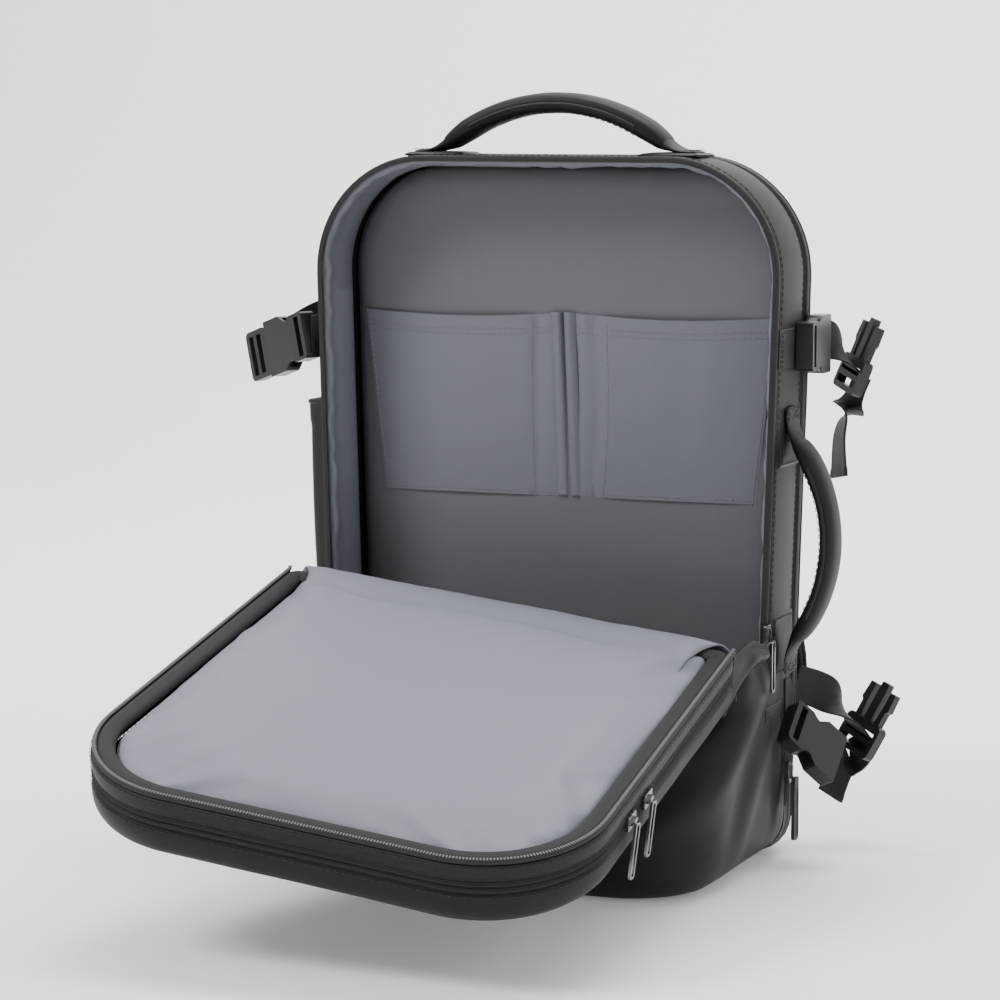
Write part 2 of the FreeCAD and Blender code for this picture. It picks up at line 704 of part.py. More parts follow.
def shoulder_webbing():
    """The thin lower strap from the corner anchor up to the adjuster, with a small clearance."""
    y = STRAP_Y + STRAP_THICK / 2
    low = (ANCHOR_X, y, ANCHOR_Z + 3)
    high = (STRAP_LOW_X + 1, y, STRAP_LOW - 24)
    strip = ribbon([(low, (1, 0, 0), (0, 1, 0)), (high, (1, 0, 0), (0, 1, 0))])
    knuckle = Part.makeCylinder(3, WEBBING, V(ANCHOR_X - WEBBING / 2, y, ANCHOR_Z), X)
    return strip.fuse(knuckle)


def webbing_anchor():
    """A sewn corner tab that holds the lower strap."""
    y = STRAP_Y + STRAP_THICK / 2
    side_view = [(REAR_Y + GAP, ANCHOR_Z - 14), (y - 4, ANCHOR_Z - 3), (y - 4, ANCHOR_Z + 3),
                 (REAR_Y + GAP, ANCHOR_Z + 14)]
    return prism(side_view, [0] * 4, "X", ANCHOR_X - WEBBING / 2, ANCHOR_X + WEBBING / 2)


def strap_adjuster():
    """A ladder lock at the padded strap's lower end."""
    y = STRAP_Y + STRAP_THICK / 2
    half, length, half_thick = ADJUSTER
    high = STRAP_LOW - 1
    low = high - length
    frame = rounded_box(STRAP_LOW_X - half, STRAP_LOW_X + half, y - half_thick, y + half_thick,
                        low, high, BAR, "Y")
    bar = (length - 2 * SLOT) / 3
    for z in (low + bar, low + 2 * bar + SLOT):
        frame = frame.cut(box(STRAP_LOW_X - half + BAR, STRAP_LOW_X + half - BAR,
                              y - 2 * half_thick, y + 2 * half_thick, z, z + SLOT))
    return frame


# ---- cover -----------------------------------------------------------------------------------

PANEL_Y = -ZIP_BAND - PANEL_BAND - GAP
POCKET_ZIP_Y = PANEL_Y - POCKET_ZIP_BAND - GAP


def cover_ring(y0, y1, inset=0.0, thick=WALL, closed=True):
    return shell_ring(COVER_LOW, COVER_CORNER, y0, y1, inset, thick, closed)


def cover_pad():
    """The padded lining: a flat back, a crowned face."""
    points, radii = bag_outline(COVER_LOW, PAD_CORNER)
    back = PANEL_Y - PAD_BACK
    pad = prism(points, radii, "Y", back, PAD_CROWN, PAD_INSET)
    face = [e for e in pad.Edges if all(abs(v.Point.y - PAD_CROWN) < 1e-6 for v in e.Vertexes)]
    return pad.makeFillet(PAD_ROUND, face)


def cover_board():
    points, radii = bag_outline(COVER_LOW, COVER_CORNER)
    high = PANEL_Y - PAD_BACK - GAP
    return prism(points, radii, "Y", high - COVER_BOARD, high, WALL + GAP)


def cover_binding():
    """The knit band that lies between the zip and the padded lining."""
    points, radii = bag_outline(COVER_LOW, BINDING_CORNER)
    ring = prism(points, radii, "Y", -ZIP_BAND - BINDING, -ZIP_BAND, WALL + GAP)
    return ring.cut(prism(points, radii, "Y", -ZIP_BAND - BINDING - 1, 0, PAD_INSET - GAP))


def pocket_panel():
    """The front face of the bag: a shallow tray that closes the front pocket."""
    points, radii = bag_outline(COVER_LOW, COVER_CORNER)
    outer = prism(points, radii, "Y", -COVER_DEPTH, POCKET_ZIP_Y)
    rim = [e for e in outer.Edges if all(abs(v.Point.y + COVER_DEPTH) < 1e-6 for v in e.Vertexes)]
    outer = outer.makeFillet(PANEL_ROUND, rim)
    return outer.cut(prism(points, radii, "Y", -COVER_DEPTH + WALL, 0, WALL))


# ---- zip sliders and pulls ----------------------------------------------------------------------

def slider_body(size=SLIDER):
    """A slider seen from its face: along X, across Z, the face towards +Y, foot at y = 0."""
    across, off, along = size
    body = rounded_box(-along / 2, along / 2, 0, off * 0.55, -across / 2, across / 2, 2, "Y")
    bridge = box(-along * 0.3, along * 0.3, off * 0.5, off, -1.2, 1.2)
    return body.fuse(bridge).removeSplitter()


def wire_pull(size=PULL):
    """A long rectangular wire loop that hangs along +X from its own end at x = 0."""
    width, thick, length = size
    outer = rounded_box(0, length, 0, thick, -width / 2, width / 2, 2.4, "Y")
    inner = rounded_box(PULL_WIRE, length - PULL_WIRE, -1, thick + 1, -width / 2 + PULL_WIRE,
                        width / 2 - PULL_WIRE, 1.2, "Y")
    return outer.cut(inner)


def rubber_pull():
    """A moulded tab with a raised rim round a plain recessed face."""
    width, thick, length = TAB_PULL
    tab = rounded_box(0, length, 0, thick, -width / 2, width / 2, 2.5, "Y")
    return tab.cut(rounded_box(8, length - 3, thick - 0.5, thick + 1, -width / 2 + 1.5,
                               width / 2 - 1.5, 1.5, "Y"))


SIDE_SLOPE = V((WIDTH_TOP - WIDTH_BASE) / 2, 0, HEIGHT).normalize()


def on_side(shape, y, z, out, side=1, along=None):
    """Sets a flat piece on the side of the bag: its +X runs up or down, its +Y faces outwards."""
    along = along or SIDE_SLOPE
    face = V(1, 0, 0) - along * along.x
    spot = shape.copy()
    spot.Placement = FreeCAD.Placement(
        V(half_width(z) + out, y, z),
        FreeCAD.Rotation(along, face.normalize(), along.cross(face), "XYZ"))
    return spot if side > 0 else mirrored(spot)


def side_slider(y, z, side):
    return on_side(slider_body(), y, z, GAP, side)


def side_pull(y, z, side):
    return on_side(wire_pull(), y, z - PULL_DROP, GAP + SLIDER[1] + PULL_OFF, side, V(0, 0, -1))


REAR_ZIP_Y = MAIN_DEPTH + GAP + REAR_ZIP_WIDTH / 2


SIDE_ZIP_FACE = half_width(SIDE_ZIP[0] + SIDE_ZIP[1]) + GAP + SIDE_ZIP_THICK


def side_zip_slider():
    out = SIDE_ZIP_FACE + GAP - half_width(SIDE_SLIDER_Z)
    return on_side(slider_body(), SIDE_ZIP_Y, SIDE_SLIDER_Z, out, 1, Z)


def side_zip_pull():
    """The rubber tab of the lower right pocket's zip."""
    low = SIDE_SLIDER_Z - PULL_DROP
    out = SIDE_ZIP_FACE + GAP + SLIDER[1] + PULL_OFF - half_width(low)
    return on_side(rubber_pull(), SIDE_ZIP_Y, low, out, 1, V(0, 0, -1))


COVER_SLIDER_Z = (322.0, 350.0)
COVER_ZIP_MID = POCKET_ZIP_Y + POCKET_ZIP_BAND / 2


def cover_slider(z):
    return opened(on_side(slider_body(), COVER_ZIP_MID, z, GAP))


def cover_pull(z):
    """A pull that hangs straight down beside the open cover."""
    spot = V(half_width(z) + GAP + SLIDER[1] + 2 * PULL_OFF, COVER_ZIP_MID, z)
    spot = HINGE_POINT + OPEN.multVec(spot - HINGE_POINT)
    side = OPEN.multVec(X)
    down = (V(0, 0, -1) + side * side.z).normalize()
    return placed(wire_pull(), spot, down, down.cross(side)), spot, side


# ---- build -------------------------------------------------------------------------------------

PIECES = {}


def build_body():
    export(base_tub(), "base_tub")
    export(base_board(), "base_board")
    export(shell_ring(TUB_RIM + GAP, 0, ZIP_BAND + GAP, MAIN_DEPTH, 0, WALL, closed=False),
           "main_gusset")
    export(front_lining(), "main_lining")
    export(shell_ring(TUB_RIM + GAP, 0, GAP, ZIP_BAND, 0, WALL, closed=False), "main_zip_tape")
    export(divider_panel(), "divider_panel")
    export(slip_pocket(1), "slip_pocket_right")
    export(slip_pocket(-1), "slip_pocket_left")
    shell = rear_shell(0).cut(rear_hollow())
    export(rear_gusset(shell), "rear_gusset")
    export(rear_zip_ring(REAR_ZIP_LOW, REAR_ZIP_DEEP, 0), "rear_zip_tape")
    export(back_panel(shell), "back_panel")
    export(laptop_sleeve(), "laptop_sleeve")
    export(back_pad(1), "back_pad_right")
    export(back_pad(-1), "back_pad_left")
    export(luggage_band(), "luggage_band")
    export(Part.makeCompound([front_webbing(z) for z in (UPPER_STRAP_Z, LOWER_STRAP_Z)]),
           "front_webbing_right")
    buckled = [buckled_strap(*strap) for strap in LEFT_STRAPS]
    for name, pieces in zip(("socket_buckles_left", "plug_buckles_left", "rear_webbing_left",
                             "front_webbing_left"), zip(*buckled)):
        export(Part.makeCompound(pieces), name)
    export(side_pocket(), "side_pocket")
    export(side_zip_tape(), "side_zip_tape")
    export(top_handle_tabs(), "top_handle_tabs")
    export(side_handle_tabs(), "side_handle_tabs")
    anchors = [strap_anchor(), mirrored(strap_anchor())]
    export(Part.makeCompound(anchors), "shoulder_strap_anchors")
    corners = [webbing_anchor(), mirrored(webbing_anchor())]
    export(Part.makeCompound(corners), "corner_tabs")


def build_cover():
    export(opened(cover_ring(-ZIP_BAND, -GAP, closed=False)), "cover_zip_tape")
    export(opened(cover_ring(PANEL_Y, -ZIP_BAND - GAP)), "cover_gusset")
    export(opened(cover_ring(POCKET_ZIP_Y, PANEL_Y - GAP)), "pocket_zip_tape")
    export(opened(cover_binding()), "cover_binding")
    export(opened(cover_pad()), "cover_pad")
    export(opened(cover_board()), "cover_board")
    export(opened(pocket_panel().cut(box(-FAR, FAR, POCKET_ZIP_Y - GAP, 1, 0, FAR))),
           "pocket_panel")


def build_moving():
    export(top_handle(), "top_handle")
    export(side_handle(), "side_handle")
    for side, word in ((1, "right"), (-1, "left")):
        export(side_slider(0, SLIDER_LOW, side), f"main_slider_{word}")
        export(side_pull(0, SLIDER_LOW, side), f"main_pull_{word}")
    export(side_slider(REAR_ZIP_Y, REAR_SLIDER_LOW, -1), "rear_slider")
    export(side_pull(REAR_ZIP_Y, REAR_SLIDER_LOW, -1), "rear_pull")
    export(side_zip_slider(), "side_slider")
    export(side_zip_pull(), "side_pull")
    for number, z in enumerate(COVER_SLIDER_Z, 1):
        export(cover_slider(z), f"pocket_slider_{number}")
        export(cover_pull(z)[0], f"pocket_pull_{number}")


def build_straps():
    for word, female, male, z, tail in (
        ("upper", UPPER_FEMALE, UPPER_MALE, UPPER_STRAP_Z + 5, UPPER_TAIL),
        ("lower", LOWER_FEMALE, LOWER_MALE, LOWER_STRAP_Z + 15, LOWER_TAIL),
    ):
        socket, plug = placed(female_buckle(), *female), placed(male_buckle(), *male)
        strip, hanging = rear_strap(male, z, tail)
        export(socket, f"socket_buckle_{word}_right")
        export(plug, f"plug_buckle_{word}_right")
        export(Part.makeCompound([strip, hanging]), f"rear_webbing_{word}_right")
    for side, word in ((1, "right"), (-1, "left")):
        turn = (lambda s: s) if side > 0 else mirrored
        export(turn(shoulder_strap()), f"shoulder_strap_{word}")
        export(turn(shoulder_webbing()), f"shoulder_webbing_{word}")
        export(turn(strap_adjuster()), f"strap_adjuster_{word}")


os.makedirs("parts", exist_ok=True)
build_body()
build_cover()
build_moving()
build_straps()
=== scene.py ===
"""Dresses the travel backpack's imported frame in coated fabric, satin lining, webbing and hardware.

Metres, +Z up, +X to the viewer's right, +Y towards the wearer's back. Each piece is modelled
where it belongs, so its object stays at the origin.
"""

import json
import math

import bmesh
import bpy
from mathutils import Matrix, Vector, noise


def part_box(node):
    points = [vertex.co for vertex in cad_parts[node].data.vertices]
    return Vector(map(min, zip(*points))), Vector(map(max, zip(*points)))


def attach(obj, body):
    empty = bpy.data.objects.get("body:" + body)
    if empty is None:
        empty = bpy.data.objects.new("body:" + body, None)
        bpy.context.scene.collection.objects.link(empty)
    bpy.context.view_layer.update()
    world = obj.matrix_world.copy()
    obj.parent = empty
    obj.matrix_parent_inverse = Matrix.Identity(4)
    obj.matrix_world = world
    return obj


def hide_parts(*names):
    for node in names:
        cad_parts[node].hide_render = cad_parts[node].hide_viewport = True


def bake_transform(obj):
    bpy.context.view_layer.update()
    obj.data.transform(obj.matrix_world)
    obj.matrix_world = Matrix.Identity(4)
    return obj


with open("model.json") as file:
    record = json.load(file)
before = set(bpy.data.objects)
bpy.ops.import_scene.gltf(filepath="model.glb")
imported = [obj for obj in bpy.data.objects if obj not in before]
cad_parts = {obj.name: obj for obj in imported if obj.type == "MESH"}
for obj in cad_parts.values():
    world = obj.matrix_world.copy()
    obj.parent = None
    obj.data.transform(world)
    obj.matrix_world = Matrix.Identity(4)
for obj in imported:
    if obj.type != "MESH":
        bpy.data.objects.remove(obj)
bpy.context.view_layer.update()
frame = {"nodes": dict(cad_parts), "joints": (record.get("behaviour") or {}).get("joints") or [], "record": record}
nodes = frame["nodes"]
MM = 0.001


# ---- shader maths --------------------------------------------------------------------------------

class Value:
    """A shader socket on which ordinary arithmetic adds Math nodes."""

    def __init__(self, finish, socket):
        self.finish = finish
        self.socket = socket

    def math(self, operation, *others):
        return self.finish.node("ShaderNodeMath", {"operation": operation}, (self,) + others)

    def __add__(self, other):
        return self.math("ADD", other)

    def __sub__(self, other):
        return self.math("SUBTRACT", other)

    def __mul__(self, other):
        return self.math("MULTIPLY", other)

    def __rsub__(self, other):
        return (self * -1) + other

    __radd__ = __add__
    __rmul__ = __mul__


class Finish:
    """A material and the nodes behind it."""

    def __init__(self, name, **constants):
        self.material = bpy.data.materials.new(name)
        self.material.use_nodes = True
        self.tree = self.material.node_tree
        self.surface = self.tree.nodes["Principled BSDF"]
        for socket, value in constants.items():
            self.surface.inputs[socket.replace("_", " ")].default_value = value

    def node(self, kind, settings=None, inputs=(), output=0):
        """Adds a node: its settings first, then what feeds its sockets, by place or by name."""
        node = self.tree.nodes.new(kind)
        for key, value in (settings or {}).items():
            if key == "stops":
                ramp = node.color_ramp
                while len(ramp.elements) < len(value):
                    ramp.elements.new(0.5)
                for element, (position, colour) in zip(ramp.elements, value):
                    element.position = position
                    element.color = colour
            else:
                setattr(node, key, value)
        pairs = inputs.items() if isinstance(inputs, dict) else enumerate(inputs)
        for key, value in pairs:
            self.feed(node.inputs[key], value)
        return Value(self, node.outputs[output])

    def feed(self, socket, value):
        if isinstance(value, Value):
            self.tree.links.new(value.socket, socket)
        else:
            socket.default_value = value

    def coords(self, uv=False, scale=None):
        """Object coordinates, or the piece's own UV map, in metres."""
        place = self.node("ShaderNodeTexCoord", output="UV" if uv else "Object")
        if scale is None:
            return place
        return self.node("ShaderNodeMapping", {}, {"Vector": place, "Scale": scale})

    def axes(self, vector):
        return [self.node("ShaderNodeSeparateXYZ", {}, (vector,), i) for i in range(3)]

    def noise(self, vector, scale, detail=3.0, roughness=0.5):
        return self.node("ShaderNodeTexNoise", {}, {"Vector": vector, "Scale": scale,
                                                    "Detail": detail, "Roughness": roughness})

    def mix(self, factor, low, high):
        return self.node("ShaderNodeMix", {"data_type": "RGBA"},
                         {0: factor, 6: low, 7: high}, 2)

    def between(self, value, low, high):
        """0 at low, 1 at high, held outside."""
        return self.node("ShaderNodeMapRange", {}, (value, low, high, 0.0, 1.0))

    def paint(self, **sockets):
        for socket, value in sockets.items():
            self.feed(self.surface.inputs[socket.replace("_", " ")], value)

    def bump(self, height, distance, strength=1.0):
        relief = self.node("ShaderNodeBump", {}, {"Strength": strength, "Distance": distance,
                                                  "Height": height})
        self.feed(self.surface.inputs["Normal"], relief)


def rgb(r, g, b):
    return (r, g, b, 1.0)


def coated_fabric():
    """Matte polyurethane-coated cloth: olive black, very fine grain, softly mottled."""
    f = Finish("coated_fabric", Specular_IOR_Level=0.2, Sheen_Weight=0.015, Sheen_Roughness=0.5)
    place = f.coords()
    cloud = f.noise(place, 9.0, 4.0)
    grain = f.noise(place, 1900.0, 2.0, 0.6)
    pores = f.node("ShaderNodeTexVoronoi", {"feature": "DISTANCE_TO_EDGE"},
                   {"Vector": place, "Scale": 1100.0})
    # The lighter convex edges here are rubbed wear of the coating.
    wear_and_highlight = f.between(f.node("ShaderNodeNewGeometry", output="Pointiness"), 0.505, 0.56)
    base = f.mix(cloud, rgb(0.0048, 0.0051, 0.0043), rgb(0.0078, 0.0082, 0.0070))
    base = f.mix(wear_and_highlight * 0.3, base, rgb(0.04, 0.041, 0.037))
    f.paint(Base_Color=base, Roughness=0.46 + grain * 0.12 + cloud * 0.06 - wear_and_highlight * 0.05)
    f.bump(grain * 0.6 + f.between(pores, 0.0, 0.25) * 0.5, 0.00006, 0.5)
    return f.material


def satin(name, low, high, thread=0.00042):
    """Smooth satin lining: fine twill, soft sheen and slight puckers."""
    f = Finish(name, Specular_IOR_Level=0.4, Sheen_Weight=0.06, Sheen_Roughness=0.35,
               Anisotropic=0.35)
    place = f.coords()
    x, y, z = f.axes(place)
    step = 2 * math.pi / thread
    twill = ((x + y + z) * step).math("SINE") * 0.5 + 0.5
    warp = ((x - y + z) * (step * 0.5)).math("SINE") * 0.5 + 0.5
    cloud = f.noise(place, 6.0, 3.0)
    slub = f.noise(f.coords(scale=(14, 14, 2)), 30.0, 2.0)
    base = f.mix(cloud * 0.5 + slub * 0.25 + twill * 0.2, low, high)
    f.paint(Base_Color=base, Roughness=0.42 + twill * 0.1 + cloud * 0.1)
    f.bump(twill * 0.5 + warp * 0.3 + f.noise(place, 70.0, 2.0) * 1.2, 0.00012, 0.6)
    return f.material


def simple(name, colour, roughness, grain=900.0, depth=0.00005, light=None, **constants):
    """A moulded or metal finish with its grain, handling marks and painted highlights on its convex edges."""
    f = Finish(name, **{"Specular_IOR_Level": 0.35, **constants})
    place = f.coords()
    fine = f.noise(place, grain, 3.0)
    cloud = f.noise(place, 24.0, 3.0)
    # Painted highlight: convex, bevelled edges are mixed towards a lighter colour, standing in for light glinting
    # on them.
    wear_and_highlight = f.between(f.node("ShaderNodeNewGeometry", output="Pointiness"), 0.51, 0.6)
    tone = [min(c * 1.5 + 0.001, 1.0) for c in colour]
    base = f.mix(cloud, rgb(*colour), rgb(*tone))
    base = f.mix(wear_and_highlight * 0.5, base, rgb(*(light or [min(c * 2.5 + 0.006, 1.0) for c in colour])))
    f.paint(Base_Color=base, Roughness=roughness + fine * 0.08 + cloud * 0.1 - wear_and_highlight * 0.06)
    f.bump(fine, depth, 0.5)
    return f.material


def woven(name, low, high, ribs=0.0011, across=0.0021):
    """Ribbed webbing: picks across its width and a plain weave along it, from the piece's UV."""
    f = Finish(name, Specular_IOR_Level=0.3, Sheen_Weight=0.03, Sheen_Roughness=0.5)
    u, v = f.axes(f.coords(uv=True))[:2]
    rib = (v * (2 * math.pi / ribs)).math("SINE") * 0.5 + 0.5
    cord = (u * (2 * math.pi / across)).math("SINE") * 0.5 + 0.5
    weave = rib * 0.65 + cord * 0.35
    cloud = f.noise(f.coords(), 30.0, 3.0)
    fuzz = f.noise(f.coords(), 1400.0, 3.0, 0.7)
    f.paint(Base_Color=f.mix(weave * 0.7 + cloud * 0.3, low, high),
            Roughness=0.5 + fuzz * 0.2 + cloud * 0.05 - weave * 0.08)
    f.bump(weave + fuzz * 0.25, 0.00025, 0.8)
    return f.material


def spacer():
    """Open spacer mesh over foam: a honeycomb of small holes with fuzzy threads."""
    f = Finish("spacer_mesh", Specular_IOR_Level=0.25, Sheen_Weight=0.05, Sheen_Roughness=0.6)
    cells = f.node("ShaderNodeTexVoronoi", {"feature": "F1"},
                   {"Vector": f.coords(scale=(1, 0.25, 1.25)), "Scale": 330.0, "Randomness": 0.25})
    hole = f.between(cells, 0.34, 0.16)
    fuzz = f.noise(f.coords(), 1600.0, 3.0)
    cloud = f.noise(f.coords(), 20.0, 3.0)
    base = f.mix(hole, f.mix(cloud, rgb(0.012, 0.012, 0.0125), rgb(0.02, 0.02, 0.021)),
                 rgb(0.002, 0.002, 0.002))
    f.paint(Base_Color=base, Roughness=0.72 + fuzz * 0.15 + hole * 0.1)
    f.bump(fuzz * 0.2 - hole, 0.0008, 0.9)
    return f.material


SHELL = coated_fabric()
# One satin in three copies: the inside linings are darkened as painted shade, and the open cover's lining is
# lightened as painted light.
SHADED_LINING = satin("satin_lining_shaded", rgb(0.125, 0.131, 0.155), rgb(0.155, 0.162, 0.19))
LINING_BACK_SHADED = satin("divider_satin_shaded", rgb(0.105, 0.107, 0.120), rgb(0.130, 0.132, 0.147))
COVER_LINING_LIT = satin("cover_satin_lit", rgb(0.185, 0.198, 0.24), rgb(0.22, 0.234, 0.275))
TAPE = simple("zip_tape", (0.0085, 0.0085, 0.0085), 0.7, 1500, 0.0001)
TEETH = simple("zip_teeth", (0.085, 0.085, 0.088), 0.3, 1500, 0.00002)
BUCKLE = simple("moulded_plastic", (0.0065, 0.0065, 0.007), 0.32, 700)
METAL = simple("gunmetal", (0.09, 0.09, 0.095), 0.22, 500, Metallic=1.0)
RUBBER = simple("moulded_rubber", (0.012, 0.012, 0.0125), 0.55, 800)
KNIT = simple("knit_binding", (0.013, 0.0155, 0.0145), 0.75, 1200)
WEB = woven("webbing_cloth", rgb(0.005, 0.005, 0.0052), rgb(0.014, 0.014, 0.0145))
SPACER = spacer()
THREAD = simple("thread", (0.10, 0.102, 0.11), 0.7, 2000)
THREAD_GREY = simple("grey_thread", (0.03, 0.03, 0.029), 0.6, 2000)
DARK_THREAD = simple("dark_thread", (0.007, 0.007, 0.007), 0.6, 2000)
BOARD = simple("board", (0.05, 0.05, 0.05), 0.6, 300)

BY_SLOT = {"shell": SHELL, "lining": SHADED_LINING, "stiffener": BOARD, "zip_tape": TAPE,
           "knit_binding": KNIT, "mesh_padding": SPACER, "webbing": WEB, "buckle": BUCKLE,
           "zip_metal": METAL, "rubber_pull": RUBBER}
for part in frame["record"]["subparts"]:
    mesh = nodes[part["node"]].data
    mesh.materials.clear()
    mesh.materials.append(BY_SLOT[part["material_slot"]])


# ---- modelling tools -----------------------------------------------------------------------------

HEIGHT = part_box("main_gusset")[1].z
MAIN_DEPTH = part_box("main_gusset")[1].y
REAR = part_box("back_panel")[1].y
COVER_LOW = 152 * MM
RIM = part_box("base_tub")[1].z
HALF_TOP, HALF_BASE = 163 * MM, 150 * MM
TOP_RADIUS, BASE_RADIUS = 76 * MM, 26 * MM
hinge = next(j for j in frame["joints"] if j["name"] == "cover_fold")
HINGE = Vector(hinge["pos_m"])
COVER_MIDDLE = (COVER_LOW + HEIGHT) / 2
OPENING = (Matrix.Translation(HINGE)
           @ Matrix.Rotation(-math.radians(hinge["range_deg"][1]), 4, Vector(hinge["axis"]))
           @ Matrix.Translation(-HINGE))


def half_width(z):
    return HALF_BASE + z / HEIGHT * (HALF_TOP - HALF_BASE)


def wave(*place):
    """Smooth repeatable unevenness, about -1 to 1."""
    return noise.noise(Vector(place))


def only(obj):
    """Selects one object and nothing else."""
    bpy.ops.object.select_all(action="DESELECT")
    obj.select_set(True)
    bpy.context.view_layer.objects.active = obj
    return obj


def apply(obj, kind, **settings):
    """Adds a modifier and applies it."""
    only(obj)
    modifier = obj.modifiers.new("step", kind)
    for key, value in settings.items():
        setattr(modifier, key, value)
    bpy.ops.object.modifier_apply(modifier=modifier.name)
    return obj


def settle(obj):
    """Leaves the object at the origin, with its place in its mesh."""
    only(obj)
    bpy.ops.object.transform_apply(location=True, rotation=True, scale=True)
    return obj


def subdivide(obj, levels=1):
    return apply(obj, "SUBSURF", levels=levels, render_levels=levels)


def smooth(obj, angle):
    only(obj)
    bpy.ops.object.shade_smooth_by_angle(angle=math.radians(angle))
    return obj


def tidy_mesh(obj, merge=0.00002):
    only(obj)
    bpy.ops.object.mode_set(mode="EDIT")
    bpy.ops.mesh.select_all(action="SELECT")
    bpy.ops.mesh.remove_doubles(threshold=merge)
    bpy.ops.mesh.normals_make_consistent(inside=False)
    bpy.ops.object.mode_set(mode="OBJECT")
    return obj


def thicken(obj, thickness, offset, angle):
    """Gives laid cloth its thickness, then its shading."""
    apply(obj, "SOLIDIFY", thickness=thickness, offset=offset)
    return smooth(obj, angle)


def close_ends(obj):
    """Fills the open ends and turns every face outwards."""
    only(obj)
    bpy.ops.object.mode_set(mode="EDIT")
    bpy.ops.mesh.select_all(action="DESELECT")
    bpy.ops.mesh.select_non_manifold()
    bpy.ops.mesh.fill_holes(sides=0)
    bpy.ops.mesh.select_all(action="SELECT")
    bpy.ops.mesh.normals_make_consistent(inside=False)
    bpy.ops.object.mode_set(mode="OBJECT")
    return obj


def draw_in(obj, on_rim, close, centre=(0, 0, 0), steps=()):
    """Extrudes a rim towards a centre, by (scale, forwards in millimetres), then closes it."""
    only(obj)
    bpy.ops.object.mode_set(mode="EDIT")
    bpy.ops.mesh.select_all(action="DESELECT")
    mesh = bmesh.from_edit_mesh(obj.data)
    for edge in mesh.edges:
        edge.select = edge.is_boundary and all(on_rim(v.co) for v in edge.verts)
    bmesh.update_edit_mesh(obj.data)
    for scale, forwards in steps:
        bpy.ops.mesh.extrude_edges_move(TRANSFORM_OT_translate={"value": (0, -forwards * MM, 0)})
        bpy.ops.transform.resize(value=scale, center_override=centre)
    close()
    bpy.ops.mesh.select_all(action="SELECT")
    bpy.ops.mesh.normals_make_consistent(inside=False)
    bpy.ops.object.mode_set(mode="OBJECT")
    return obj


def finish(obj, material, body, slot, *replaced):
    """Gives a piece its finish and its place among the bodies."""
    obj.data.materials.clear()
    obj.data.materials.append(material)
    if body:
        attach(obj, body)
    if replaced:
        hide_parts(*replaced)
    return obj


def lay(name, rows, ring=False, loop=False):
    """A grid laid over rows of points, its UV in metres.

    ring joins each row's ends, and loop joins the last row to the first.
    """
    rows = [[Vector(p) for p in row] for row in rows]
    if ring:
        rows = [row + [row[0]] for row in rows]
    if loop:
        rows = rows + [rows[0]]
    down, across = len(rows), len(rows[0])
    bpy.ops.object.select_all(action="DESELECT")
    bpy.ops.mesh.primitive_grid_add(x_subdivisions=across - 1, y_subdivisions=down - 1, size=1)
    obj = bpy.context.object
    obj.name = name
    mesh = obj.data
    flat = [p for row in rows for p in row]
    mesh.vertices.foreach_set("co", [c for p in flat for c in p])
    run, side = [0.0], [0.0]
    for a, b in zip(rows, rows[1:]):
        run.append(run[-1] + (b[across // 2] - a[across // 2]).length)
    middle = rows[down // 2]
    for a, b in zip(middle, middle[1:]):
        side.append(side[-1] + (b - a).length)
    layer = mesh.uv_layers.active.data
    for corner in mesh.loops:
        index = corner.vertex_index
        layer[corner.index].uv = (side[index % across], run[index // across])
    mesh.update()
    if ring or loop:
        tidy_mesh(obj)
    return obj


def rounded_loop(corners, step):
    """Points and outward directions round a convex polygon of (x, z, radius), anticlockwise."""
    made = []
    count = len(corners)
    ends = []
    for i, (x, z, radius) in enumerate(corners):
        here = Vector((x, z))
        before = (Vector(corners[i - 1][:2]) - here).normalized()
        after = (Vector(corners[(i + 1) % count][:2]) - here).normalized()
        half = before.angle(after) / 2
        reach = radius / math.tan(half)
        middle = here + (before + after).normalized() * (radius / math.sin(half))
        ends.append((here + before * reach, here + after * reach, middle, radius))
    for i, (start, end, middle, radius) in enumerate(ends):
        if radius > 0:
            a0, a1 = start - middle, end - middle
            turn = a0.angle(a1)
            bits = max(3, round(radius * turn / step))
            for k in range(bits + 1):
                t = k / bits
                ray = (a0 * math.sin((1 - t) * turn) + a1 * math.sin(t * turn)) / math.sin(turn)
                made.append((middle + ray, ray.normalized()))
        following = ends[(i + 1) % count][0]
        run = following - end
        bits = max(1, round(run.length / step))
        out = Vector((run.y, -run.x)).normalized()
        for k in range(0 if radius <= 0 else 1, bits):
            made.append((end + run * (k / bits), out))
    return made


def bag_loop(low, low_radius=0.0, inset=0.0, step=0.008):
    """The bag's outline seen from the front, from a height up."""
    low, high = low + inset, HEIGHT - inset
    right = half_width(low) - inset
    top = half_width(high) - inset
    low_radius = max(low_radius - inset, 0.0)
    high_radius = max(TOP_RADIUS - inset, 0.004)
    return rounded_loop([(right, low, low_radius), (top, high, high_radius),
                         (-top, high, high_radius), (-right, low, low_radius)], step)


def open_loop(low, inset=0.0, step=0.008):
    """The same outline without its lower run, from the right foot over the top to the left."""
    loop = bag_loop(low - inset, 0.0, inset, step)
    foot = min(i for i, (p, _) in enumerate(loop) if p.x < 0 and p.y <= low + 1e-5)
    return loop[:foot + 1]


def around(name, loop, profile, closed=False):
    """Sweeps a profile of (y, outwards) round an outline; profile may be a function of the run."""
    rows, run, last = [], 0.0, None
    for point, out in loop:
        run += (point - last).length if last is not None else 0.0
        last = point
        section = profile(run, point) if callable(profile) else profile
        rows.append([(point.x + out.x * o, y, point.y + out.y * o) for y, o in section])
    return lay(name, rows, loop=closed)


def offset(loop, outwards, y):
    """An outline moved outwards, in millimetres, and set at a depth in metres."""
    return [(p.x + out.x * outwards * MM, y, p.y + out.y * outwards * MM) for p, out in loop]


def opened(obj):
    """Turns a cover piece, modelled closed, to where it lies open."""
    obj.data.transform(OPENING)
    obj.data.update()
    return obj


